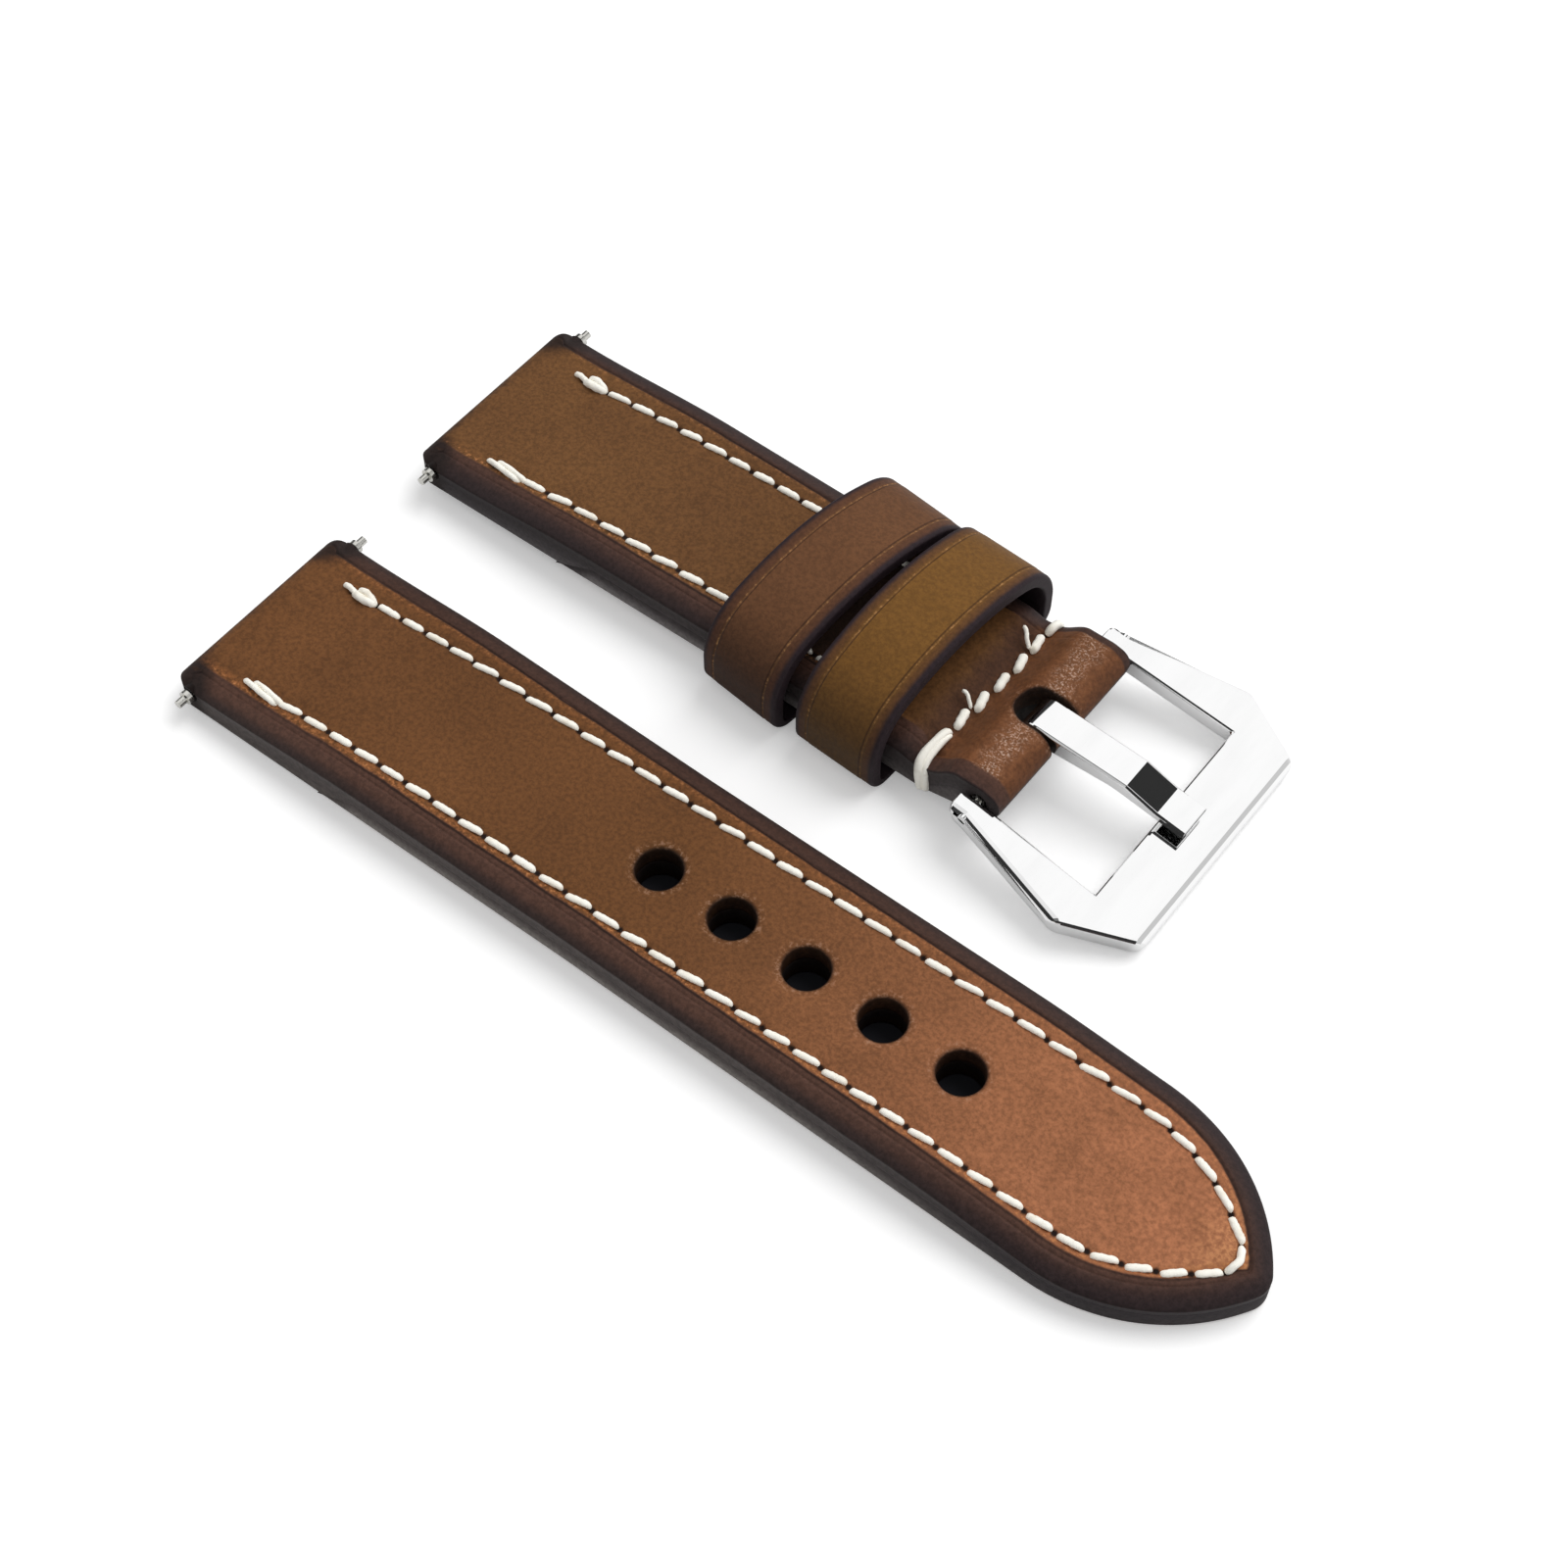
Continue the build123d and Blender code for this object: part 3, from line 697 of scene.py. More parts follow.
# %% Rings and strip
TOP_INSETS = np.array([
    0, 0.02, 0.08, 0.17, 0.3, 0.48, 0.7, 0.95, 1.2, 1.45, 1.65, 1.8, 1.88, 1.94, 2.0, 2.06, 2.12, 2.2, 2.32,
    2.5, 2.65, 2.8, 2.95, 3.08, 3.2, 3.32, 3.44, 3.56, 3.68, 3.8, 3.95, 4.15, 4.5, 5.0, 5.6, STRIP_INSET])
UNDER_INSETS = np.array([0, 0.02, 0.08, 0.17, 0.35, 0.7, 1.2, 1.8, 2.5, 3.6, STRIP_INSET])
COLUMNS, CORNER_STEPS, ARCH_STEPS, NOSE_STEPS = 20, 20, 66, 12


def rings(insets, xs, lug_end, arched):
    """Points (ring, station, xy) of the far side, from the lug end's middle towards the tip.

    Stations before CORNER_BLEND are moved, to start where a ring's corner ends."""
    d = np.asarray(insets, float)[:, None]
    parts = []
    if lug_end:
        corner_x, radius = np.maximum(d, CORNER), CORNER - np.minimum(d, CORNER)
        corner_y = half_width(corner_x) - corner_x
        parts.append(grid_of(d, corner_y * np.linspace(0, 1, COLUMNS)))
        angle = np.linspace(0, 1, CORNER_STEPS)[1:] * pi / 2
        parts.append(grid_of(corner_x - radius * np.cos(angle), corner_y + radius * np.sin(angle)))
        xs = xs[1:]
        near = corner_x + (xs - CORNER) * (CORNER_BLEND - corner_x) / (CORNER_BLEND - CORNER)
        xs = np.where(xs < CORNER_BLEND, near, xs)
    parts.append(grid_of(xs, half_width(xs) - d))
    if arched:
        reach = SIDE_ARC - d
        full = np.arccos(ARC_DROP / (SIDE_ARC - np.maximum(d, NOSE)))
        angle = np.linspace(0, 1, ARCH_STEPS)[1:] * full
        parts.append(grid_of(TURN_X + reach * np.sin(angle), reach * np.cos(angle) - ARC_DROP))
        radius = np.clip(NOSE - d, 0, None)
        centre_x = np.where(d < NOSE, HOLE_END - NOSE, TURN_X + reach * np.sin(full))
        angle = full + (pi / 2 - full) * np.linspace(0, 1, NOSE_STEPS)[1:]
        parts.append(grid_of(centre_x + radius * np.sin(angle), radius * np.cos(angle)))
    return np.concatenate(parts, 1)


def strip(side, count, opening):
    """Points from a line along the side to the centre line or to the edge of an opening."""
    x, y = side.T
    inner = opening(x)
    return grid_of(x, inner + (y - inner) * np.linspace(0, 1, count)[:, None])


print("rings above and below:", len(TOP_INSETS), len(UNDER_INSETS))

# %% [markdown]
# The openings are written as half their width at each x.  A punched hole is a circle,
# the slot is a round end that runs on straight, and a spring bar's tunnel is a circle
# seen from the side, so each is one square root.

# %% Openings and walls
def punched(x):
    """Half the opening of the five punched holes across the centre line."""
    reach = HOLE_R ** 2 - (x[..., None] - HOLES) ** 2
    return np.sqrt(np.clip(reach, 0, None)).max(-1)


def slotted(x):
    """Half the opening of the buckle slot: a round end, then straight to the fold."""
    reach = np.clip(SLOT_X + SLOT_HALF - x, 0, None)
    return np.where(x > SLOT_X, np.sqrt(np.clip(SLOT_HALF ** 2 - reach ** 2, 0, None)), 0)


def tunnelled(x, centres):
    """Half the height of the spring bar tunnels at x."""
    reach = [TUNNEL ** 2 - (x - centre) ** 2 for centre in centres] + [0 * x]
    return np.sqrt(np.max(reach, axis=0))


def widened(mask):
    """The mask with each run made one longer at both ends."""
    wide = mask.copy()
    wide[:-1] |= mask[1:]
    wide[1:] |= mask[:-1]
    return wide


def runs(mask):
    """The index runs where a mask holds."""
    parts = np.split(np.arange(len(mask)), np.nonzero(np.diff(mask.astype(int)))[0] + 1)
    return [part for part in parts if mask[part[0]]]


def wall(plan, start, end):
    """A grid from one height to another above the same plan points."""
    return grid_of(*plan.T, start + (end - start) * np.linspace(0, 1, 8)[:, None])


def with_height(plan, height):
    """Add a height to plan points."""
    return grid_of(plan[..., 0], plan[..., 1], height)


print("a punched hole is open", punched(HOLES[:1])[0], "mm to each side")

# %% [markdown]
# One function turns a description of a layer into a closed surface.  It can serve both
# uppers and both linings because they differ only in stations, heights and openings.
# The mesh carries the distances that the finish asks for, measured where they are exact.

# %% One layer of leather
def leather_layer(shape, place):
    """One closed surface: top, underside, outer walls, the walls of openings, and the bar tunnels.

    The walls are split at the middle height, where the line between the halves opens
    into the tunnel's mouth: half its height is the circle's, sqrt(r^2 - (x - centre)^2)."""
    heights, opening, tunnels = shape["heights"], shape["opening"], shape["tunnels"]
    skip, count = (COLUMNS + CORNER_STEPS - 2, COLUMNS) if shape["lug_end"] else (0, 6)
    grids, rim = [], {}
    for face in ("top", "under"):
        band = rings(shape[face], shape["xs"], shape["lug_end"], shape["arch"])
        for key, plan in (("outer", band), ("inner", strip(band[-1, skip:], count, opening))):
            grids.append(with_height(plan, heights(plan[..., 0], plan[..., 1], face)))
            rim[face, key] = grids[-1][0]
    for key in ("outer", "inner"):
        x, y, _ = rim["top", key].T
        middle, gap = heights(x, y, "middle"), tunnelled(x, tunnels)
        for run in [np.arange(len(x))] if key == "outer" else runs(widened(opening(x) > 1e-6)):
            for face, sign in (("top", 1), ("under", -1)):
                start, end = rim[face, key][run, 2], (middle + sign * gap)[run]
                grids.append(wall(rim["top", key][run, :2], start, end))
    plan = rim["top", "outer"][:, :2]
    for centre in tunnels:
        beside = (np.abs(plan[:, 0] - centre) < TUNNEL - 1e-6) & (np.arange(len(plan)) >= COLUMNS)
        for run in runs(widened(beside)):
            x = plan[run, 0]
            middle, gap = heights(x, 0 * x, "middle"), tunnelled(x, tunnels)
            grids += [with_height(strip(plan[run], 6, opening), middle + sign * gap) for sign in (1, -1)]
    points, quads = weld(grids, mirror=True)
    x, y, z = points.T
    inset = shape["inset"](x, y)
    depth = np.where(inset < 0.01, heights(x, y, "top") - z, 0)
    under = (z < heights(x, y, "middle") - 0.02) & (inset > 0.01)
    return points + place, quads, {
        "inset": np.where(under, UNDERSIDE, inset - np.clip(depth, 0, None)), "under": under * 1.0,
        "rim": shape["rim"](x, y), "awl": nearest(x, y, awl_holes(shape["rows"])),
        "lug": np.hypot(np.maximum(x, 0), np.maximum(LUG_HALF - np.abs(y), 0))}


# %% [markdown]
# ## The hole half
# The upper leather runs from the tip to the lug end, round the spring bar and a little
# way back underneath, where it is pared thin.  The lining fills the rest of the
# underside.  Stations along the strap crowd together round each punched hole, so that it
# comes out round.

# %% Hole half
STEP, FINE_STEP = 0.36, 0.2


def ramp(low, high, x):
    """A straight ramp from 0 to 1."""
    return np.clip((x - low) / (high - low), 0, 1)


def hole_rim(x, y):
    """Distance from the wall of the nearest punched hole."""
    return nearest(x, y, [(hole, 0) for hole in HOLES]) - HOLE_R


def under_bevel(inset):
    """How far the small bevel below the side lifts the underside."""
    return UNDER_BEVEL * np.clip(1 - inset / UNDER_BEVEL, 0, 1)


def lining_heights(face, thick, inset, low=0.0):
    """Top, underside or middle height of a lining that lies on a level and is so thick."""
    if face == "top":
        return low + thick
    under = np.minimum(under_bevel(inset), thick * 0.85)
    return low + (under if face == "under" else (thick + under) / 2)


def hole_half_heights(x, y, face):
    """Top, underside or middle height of the hole half's upper leather."""
    middle = LAYER + 0 * x
    if face == "middle":
        return middle
    inset = tip_inset(x, y)
    if face == "top":
        rim = np.clip(hole_rim(x, y), 0, None)
        thick = LAYER - END_DROP * (1 - ease(*END_THIN, x)) - TIP_DROP * ease(*TIP_THIN, x)
        top = LAYER + lug_round(x) * thick / LAYER + worked_top(x, y, inset, hole_rows, 3)
        top -= 0.28 * np.exp(-rim / 0.25) + ridge(rim, 0.12, 1.1)
        return np.maximum(top, middle)
    under = LAYER - lug_round(x) + LAYER * ramp(SCARF_X, TURNED_END, x)
    return np.minimum(np.maximum(under, under_bevel(inset)), middle)


def hole_lining_heights(x, y, face):
    """The lining lies under the upper leather, down to the table."""
    return lining_heights(face, LAYER * ramp(SCARF_X, TURNED_END, x), tip_inset(x, y))


hole_runs = [cosine_steps(CORNER, LAYER + TUNNEL, 9),
             stations([LAYER + TUNNEL, SCARF_X, TURNED_END, HOLES[0] - HOLE_R], STEP)]
for hole, following in zip(HOLES, [*(HOLES[1:] - HOLE_R), TURN_X]):
    hole_runs += [cosine_steps(hole - HOLE_R, hole + HOLE_R, 23), stations([hole + HOLE_R, following], STEP)]
hole_xs = joined(hole_runs)
hole_upper = {"xs": hole_xs, "top": TOP_INSETS, "under": UNDER_INSETS, "heights": hole_half_heights,
              "opening": punched, "tunnels": [LAYER], "lug_end": True, "arch": True, "rows": hole_rows,
              "inset": tip_inset, "rim": hole_rim}
hole_lining = {**hole_upper, "xs": hole_xs[hole_xs >= SCARF_X], "top": UNDER_INSETS, "tunnels": [],
               "heights": hole_lining_heights, "lug_end": False}
piece("hole_half_leather", leather_layer(hole_upper, HOLE_PLACE), "hole_half",
      ["hole_half_upper"], HOLE_LEATHER)
piece("hole_half_back", leather_layer(hole_lining, HOLE_PLACE), "hole_half",
      ["hole_half_lining"], HOLE_LINING)

# %% [markdown]
# ## The buckle half
# The same layer of leather, but at its square end it turns round the buckle's bar.  The
# stitches across draw it into a waist, and a round-ended slot for the tongue divides
# the fold into two ears.  It lies a little higher than the hole half, because
# the keepers pass beneath it.

# %% Buckle half
LIFT = 1.0
FOLD_LOW, FOLD_TOP = BAR_Z - FOLD_R, BAR_Z + FOLD_R
FOLD_BACK = 21.0
RETURN_X = BAR_X - FOLD_BACK
WAIST_START, WAIST_X, CREST_X = 61.8, 65.4, 69.4
WAIST_Z, SMOOTH_X = 5.05, 72.5
CROSS = np.array([(64.9, -8.2), (65.1, -4.4), (65.4, -1.5), (65.6, 1.6), (65.7, 4.6), (65.6, 7.6)])


def fold_round(x):
    """Height of the fold above the bar's axis: a half circle past the bar."""
    return np.sqrt(np.clip(FOLD_R ** 2 - np.clip(x - BAR_X, 0, None) ** 2, 0, None))


def slot_rim(x, y):
    """Distance from the edge of the slot."""
    straight = np.abs(y) - SLOT_HALF
    round_end = np.hypot(x - SLOT_X - SLOT_HALF, y) - SLOT_HALF
    return np.where(x > SLOT_X + SLOT_HALF, straight, round_end)


def buckle_lining_thickness(x):
    """The lining tapers to nothing under both turned ends."""
    return LAYER * (ramp(SCARF_X, TURNED_END, x) - ramp(RETURN_X, RETURN_X + SCARF, x))


def buckle_half_heights(x, y, face):
    """Top, underside or middle height of the buckle half's upper leather."""
    middle = np.interp(x, [0, 60, BAR_X], [LIFT + LAYER, LIFT + LAYER, BAR_Z])
    if face == "middle":
        return middle
    inset = side_inset(x, y)
    if face == "top":
        strap_top = LIFT + LAYER + lug_round(x) * (1 - END_DROP / LAYER * (1 - ease(*END_THIN, x)))
        waist = strap_top + (WAIST_Z - strap_top) * ease(WAIST_START, WAIST_X - 0.3, x)
        crest = WAIST_Z + (FOLD_TOP - WAIST_Z) * ease(WAIST_X + 0.3, CREST_X, x)
        top = np.where(x < WAIST_X, waist, np.where(x < BAR_X, crest, BAR_Z + fold_round(x)))
        relief = worked_top(x, y, inset, buckle_rows, 8)
        top += relief * (1 - 0.55 * ease(64, 66, x)) * ease(FOLD_END, SMOOTH_X, x)
        top -= 0.16 * np.exp(-np.clip(slot_rim(x, y), 0, None) / 0.22)
        top += ridge(nearest(x, y, CROSS + [0.0, 1.55]), -0.3, 0.5)
        return np.maximum(top, middle)
    under = np.where(x < LAYER, LIFT + LAYER - lug_round(x), LIFT + buckle_lining_thickness(x))
    fold = np.interp(x, [WAIST_X, BAR_X], [LIFT, FOLD_LOW])
    bevel = under_bevel(inset)
    fold = np.where(x > BAR_X, BAR_Z - fold_round(x), fold) + bevel
    return np.minimum(np.where(x > WAIST_X, fold, np.maximum(under, LIFT + bevel)), middle)


def buckle_lining_heights(x, y, face):
    """The lining fills the underside between the two turned ends."""
    return lining_heights(face, buckle_lining_thickness(x), side_inset(x, y), LIFT)


bend = np.linspace(asin(TUNNEL / FOLD_R), pi / 2, 16)
buckle_xs = joined([
    cosine_steps(CORNER, LAYER + TUNNEL, 9),
    stations([LAYER + TUNNEL, SCARF_X, TURNED_END, RETURN_X, RETURN_X + SCARF, WAIST_START], STEP),
    stations([WAIST_START, SLOT_X], FINE_STEP),
    SLOT_X + SLOT_HALF * (1 - np.cos(np.linspace(0, pi / 2, 13))),
    stations([SLOT_X + SLOT_HALF, BAR_X - TUNNEL], FINE_STEP),
    cosine_steps(BAR_X - TUNNEL, BAR_X + TUNNEL, 15),
    BAR_X + FOLD_R * np.sin(bend)])
buckle_upper = {"xs": buckle_xs, "top": TOP_INSETS, "under": TOP_INSETS, "heights": buckle_half_heights,
                "opening": slotted, "tunnels": [LAYER, BAR_X], "lug_end": True, "arch": False,
                "rows": buckle_rows, "inset": side_inset, "rim": slot_rim}
in_lining = (buckle_xs >= SCARF_X) & (buckle_xs <= RETURN_X + SCARF + 1e-9)
buckle_lining = {**buckle_upper, "xs": buckle_xs[in_lining], "top": UNDER_INSETS, "under": UNDER_INSETS,
                 "tunnels": [], "heights": buckle_lining_heights, "lug_end": False}
piece("buckle_half_leather", leather_layer(buckle_upper, BUCKLE_PLACE), "buckle_half",
      ["buckle_half_upper"], BUCKLE_LEATHER)
piece("buckle_half_back", leather_layer(buckle_lining, BUCKLE_PLACE), "buckle_half",
      ["buckle_half_lining"], BUCKLE_LINING)

# %% [markdown]
# ## Keepers
# A keeper is a strip of leather bent into a loop round the strap, with a crease line
# pressed in along both margins and its edges painted.  The loop is a flat bottom, round
# corners, short sides and a three-centred arch; inside and outside share the arch's
# centres.  The strip's section is carried round that path.  The two loops sit a little
# askew, as hand-fitted ones do.

# %% Keepers
KEEPER_LENGTH, KEEPER_ASIDE, KEEPER_WALL = 9.8, 0.3, 1.5
KEEPER_SIZES = np.array([14.4, 12.4, 7.0])
CREASE_INSET, ROUNDING = 1.5, 0.4


def keeper_path(sizes, low, corner):
    """Points (y, z) from the middle of the bottom round one side to the crown.

    The sizes are half the width, the crown's height and the shoulder's radius."""
    half, crown, shoulder = sizes
    offset, rise, side_z = half - shoulder, crown - shoulder, 4.1
    drop = (offset ** 2 + side_z ** 2 - rise ** 2) / (2 * (side_z - rise))
    tilt = np.arctan2(offset, side_z - drop)
    t = np.linspace(0, 1, 16)[1:, None]
    bottom = np.array([[0, low]]) + t * [half - corner, 0]
    turn = t[:9] / t[8] * pi / 2
    foot = [half - corner, low + corner] + corner * np.concatenate([np.sin(turn), -np.cos(turn)], 1)
    rising = np.array([[half, low + corner]]) + t[2::3] / t[14] * [0, side_z - low - corner]
    lean = t * (pi / 2 - tilt)
    arch = [offset, side_z] + shoulder * np.concatenate([np.cos(lean), np.sin(lean)], 1)
    roll = tilt * (1 - np.linspace(0, 1, 31)[1:, None])
    top = [0, drop] + (crown - drop) * np.concatenate([np.sin(roll), np.cos(roll)], 1)
    return np.concatenate([[[0, low]], bottom, foot, rising, arch, top])


def keeper_loop(x, skew, seed):
    """The strip's section carried round the loop, and the loop turned by its skew in degrees."""
    outside, inside = keeper_path(KEEPER_SIZES, 0.0, 2.5), keeper_path(KEEPER_SIZES - KEEPER_WALL, 0.8, 1.0)
    half = KEEPER_LENGTH / 2
    fine = np.concatenate([
        np.linspace(0, half - CREASE_INSET - 0.35, 9),
        half - CREASE_INSET + np.linspace(-0.28, 0.28, 9),
        np.linspace(half - 1.0, half - ROUNDING, 4),
        half - ROUNDING * (1 - np.sin(np.linspace(0.2, pi / 2, 6)))])
    across = np.concatenate([-fine[:0:-1], fine])
    past_crease = np.abs(across) - (half - CREASE_INSET)
    past_flat = np.clip(np.abs(across) - half + ROUNDING, 0, None) / ROUNDING
    face = ridge(past_crease, 0.11, 0.11) + 0.05 * ease(0, 0.4, past_crease)
    face += 0.32 * (1 - np.sqrt(np.clip(1 - past_flat ** 2, 0, 1)))
    edge = np.linspace(0.3, 0.94, 6)
    inner = np.linspace(half - 0.12, 0.12 - half, 9)
    section_x, share, inset = (
        np.concatenate([*sides, sides[0][:1]]) for sides in (
            (across, half + 0 * edge, inner, -half + 0 * edge),
            (face / KEEPER_WALL, edge, 1 + 0 * inner, edge[::-1]),
            (half - np.abs(across), -1.5 * edge, -1.2 + 0 * inner, -1.5 * edge[::-1])))
    yz = outside[:, None] + (inside - outside)[:, None] * share[:, None]
    welded, quads = weld([grid_of(section_x, yz[..., 0], yz[..., 1], inset)], mirror=True)
    points, carried = welded[:, :3], welded[:, 3]
    points = points + waviness(points[:, 0] * 3, points[:, 1], seed, 0.05)[:, None] * [1, 0, 0]
    c, s = cos(radians(skew)), sin(radians(skew))
    turn = np.array([[c, -s, 0], [s, c, 0], [0, 0, 1]])
    return points @ turn + [x, KEEPER_ASIDE, 0] + BUCKLE_PLACE, quads, {"inset": carried}


piece("keeper_loop_fixed", keeper_loop(57.4, 2.5, 11), "buckle_half", ["fixed_keeper"],
      TAN_LEATHER)
piece("keeper_loop_sliding", keeper_loop(46.4, 5.7, 12), "sliding_keeper", ["sliding_keeper"],
      BROWN_LEATHER)

# %% [markdown]
# ## Linen thread
# A stitch shows as a short, plump dash that dives into an awl hole at both ends.  It is
# a tube whose radius swells and closes along its length, with a faint three-ply twist.
# The first holes of each row are sewn twice, and the thread over the fold goes round
# both edges of the strap and leaves two short ends.

# %% Thread
def plump(along, around, length, width, height, ply):
    """Local (x, y, z) of a stitch: an ellipse carried along x, its radius falling as sqrt(1 - a^6)."""
    swell = np.sqrt(np.clip(1 - np.abs(along) ** 6, 0, 1))
    twist = 1 + 0.09 * np.cos(ply * around + along * length * 3.4)
    x = along * length / 2
    y = width / 2 * swell * twist * np.cos(around)
    z = height / 2 * swell * twist * np.sin(around) + 0.1 * (1 - along ** 4) - 0.28 * np.abs(along) ** 10
    return x, y, z


def stitches(row, top_height, seed, first=0, width=0.7, height=0.56):
    """Grids of all stitches of a row, each turned to its heading and set on the leather."""
    draw = np.random.default_rng(seed)
    along = np.cos(np.linspace(pi, 0, 15))[:, None]
    around = np.linspace(0, 2 * pi, 13)[None, :]
    grids = []
    for (x, y), heading, pitch in list(zip(row["middle"], row["heading"], row["pitch"]))[first:]:
        length = pitch * 0.86 * draw.uniform(0.94, 1.05)
        dx, dy, dz = plump(along, around, length, width * draw.uniform(0.92, 1.06), height, 3)
        turn = heading + radians(draw.normal(6.5, 2.5))
        base = top_height(x, y + 1.2 * (1 if y < 0 else -1), "top") - 0.06
        turned_x, turned_y = dx * cos(turn) - dy * sin(turn), dx * sin(turn) + dy * cos(turn)
        grids.append(grid_of(x + turned_x, y + turned_y, base + dz))
    return grids


def strand(knots, width):
    """A thread along a smooth path through a few points: quadratic pieces joined at their middles."""
    knots = np.asarray(knots, float)
    ends = [knots[0], *[(a + b) / 2 for a, b in zip(knots[1:-1], knots[2:-1])], knots[-1]]
    t = np.linspace(0, 1, 9)[:, None]
    path = np.concatenate([(1 - t) ** 2 * a + 2 * t * (1 - t) * k + t ** 2 * b
                           for a, k, b in zip(ends[:-1], knots[1:-1], ends[1:])])
    path = path[np.concatenate([[True], np.linalg.norm(np.diff(path, axis=0), axis=1) > 1e-6])]
    tangent = np.gradient(path, axis=0)
    tangent /= np.linalg.norm(tangent, axis=1, keepdims=True)
    side = np.cross(tangent, np.where(np.abs(tangent[:, [2]]) > 0.9, [[1.0, 0, 0]], [[0, 0, 1.0]]))
    side /= np.linalg.norm(side, axis=1, keepdims=True)
    up = np.cross(side, tangent)
    share = np.linspace(-1, 1, len(path))[:, None, None]
    around = np.linspace(0, 2 * pi, 11)[None, :, None]
    radius = width / 2 * np.sqrt(np.clip(1 - np.abs(share) ** 10, 0, 1))
    radius = radius * (1 + 0.08 * np.cos(3 * around + share * 9))
    return path[:, None] + radius * (side[:, None] * np.cos(around) + up[:, None] * np.sin(around))


# %% [markdown]
# The first stitch of a row is sewn twice, to lock the thread.  On the near side it ends
# beside itself, on the far side in a flat knot.  These threads, the loop round the nose
# and the loose ends wander, so each is a tube along a few knots read from the photo.

# %% Locked stitches and loose ends
NEAR_START = [
    ([(-2.9, 0.1, -0.3), (-2.5, 0, 0.25), (-0.2, -0.3, 0.3), (1.4, -0.35, 0.25), (2.0, -0.3, -0.3)], 0.6),
    ([(-1.9, 0.45, -0.3), (-1.4, 0.4, 0.25), (0.6, 0.2, 0.35), (2.2, 0.05, 0.25), (2.7, 0, -0.3)], 0.62)]
FAR_START = [
    ([(-2.9, 0.15, -0.3), (-2.5, 0.1, 0.2), (-1.3, -0.1, 0.2), (-0.9, -0.1, -0.3)], 0.6),
    ([(-1.3, -0.1, -0.3), (-0.9, -0.3, 0.3), (0.2, -0.45, 0.4), (1.1, -0.15, 0.2), (1.4, 0, -0.3)], 0.85),
    ([(-1.1, 0.3, -0.3), (-0.7, 0.45, 0.3), (0.2, 0.35, 0.45), (1.1, 0.1, 0.2), (1.4, 0, -0.3)], 0.8)]
CROSS_ENDS = [
    ([(65.1, -6.2, 4.7), (65.0, -6.6, 5.5), (64.8, -8.4, 5.55), (64.7, -10.5, 5.15), (65.0, -11.3, 4.4),
      (65.3, -11.5, 3.0), (65.4, -11.4, 1.9), (65.4, -10.9, 1.3)], 0.95),
    ([(65.3, -6.4, 4.7), (65.4, -6.9, 5.4), (65.3, -8.6, 5.4), (65.3, -10.5, 5.0), (65.7, -11.25, 4.1),
      (66.0, -11.4, 2.8), (65.9, -11.2, 1.6), (65.8, -10.7, 1.2)], 0.7),
    ([(65.7, 9.2, 4.7), (65.7, 9.6, 5.5), (65.8, 10.7, 5.2), (65.8, 11.35, 4.4), (65.8, 11.5, 3.0),
      (65.7, 11.2, 1.6)], 0.95),
    ([(65.2, -3.0, 5.2), (64.6, -2.6, 5.9), (64.0, -2.2, 6.3), (63.5, -2.3, 6.2)], 0.4),
    ([(65.5, 6.4, 5.2), (64.7, 6.9, 5.9), (64.2, 7.6, 6.3), (63.7, 7.7, 6.5)], 0.45)]


def sewn(rows, top_height, seed):
    """All thread of a half's two rows."""
    grids = []
    for number, (row, side) in enumerate(zip(rows, (-1, 1))):
        grids += stitches(row, top_height, seed + number, 1)
        x, y = row["middle"][0]
        start = np.array([x, y, top_height(x, y - 1.2 * side, "top")])
        grids += [strand(start + knots, width) for knots, width in (NEAR_START if side < 0 else FAR_START)]
    return grids


def sew(name, grids, place, body, nodes):
    """Join stitches into one piece of thread."""
    points, quads = weld(grids, mirror=False)
    piece(name, (points + place, quads, {}), body, nodes, THREAD)


(ax, ay), (bx, by) = (row["awl"][-1] for row in hole_rows)
nose_z = hole_half_heights(ax - 1.0, 0.0, "top")
round_nose = strand([
    (ax, ay, nose_z - 0.4), (ax + 0.15, ay + 0.3, nose_z + 0.25), (ax + 0.5, 0.1, nose_z + 0.4),
    (bx + 0.2, by - 0.3, nose_z + 0.25), (bx, by, nose_z - 0.4)], 0.72)
sew("hole_half_thread", sewn(hole_rows, hole_half_heights, 20) + [round_nose], HOLE_PLACE, "hole_half",
    ["hole_half_stitching"])
sew("buckle_half_thread", sewn(buckle_rows, buckle_half_heights, 30), BUCKLE_PLACE, "buckle_half",
    ["buckle_half_stitching"])
cross_row = {"middle": CROSS[1:], "heading": np.full(len(CROSS) - 1, pi / 2) + 0.1,
             "pitch": np.full(len(CROSS) - 1, 3.0)}
cross_stitches = stitches(cross_row, lambda x, y, face: WAIST_Z, 41, 0, 0.95, 0.8)
cross_thread = [grid + [0, 0, 0.06] for grid in cross_stitches]
cross_thread += [strand(knots, width) for knots, width in CROSS_ENDS]
sew("cross_thread", cross_thread, BUCKLE_PLACE, "buckle_half", ["cross_stitching"])

# %% [markdown]
# ## Polished steel
# The buckle is cast and polished bright; the spring bars are turned steel.  They stay
# the CAD model's own solids.  Steel has no colour pattern of its own: what shows is what
# it mirrors, with the faint brush and dulling that handling leaves.

# %% Steel
def steel(name, shade, low, high):
    """Bright metal with a faintly uneven polish."""
    metal = Finish(name, Metallic=1.0)
    rub = metal.noise(420, 3.0, 0.6, (1.0, 0.2, 1.0))
    spots = metal.noise(1500, 2.0, 0.5)
    color = metal.mix(rub.rise(0.3, 0.8) * 0.3, shade, tuple(v * 0.86 for v in shade))
    metal.bump(rub * 0.4 + spots * 0.2, 0.00001, 0.25)
    return metal.finished(color, rub * (high - low) + low)


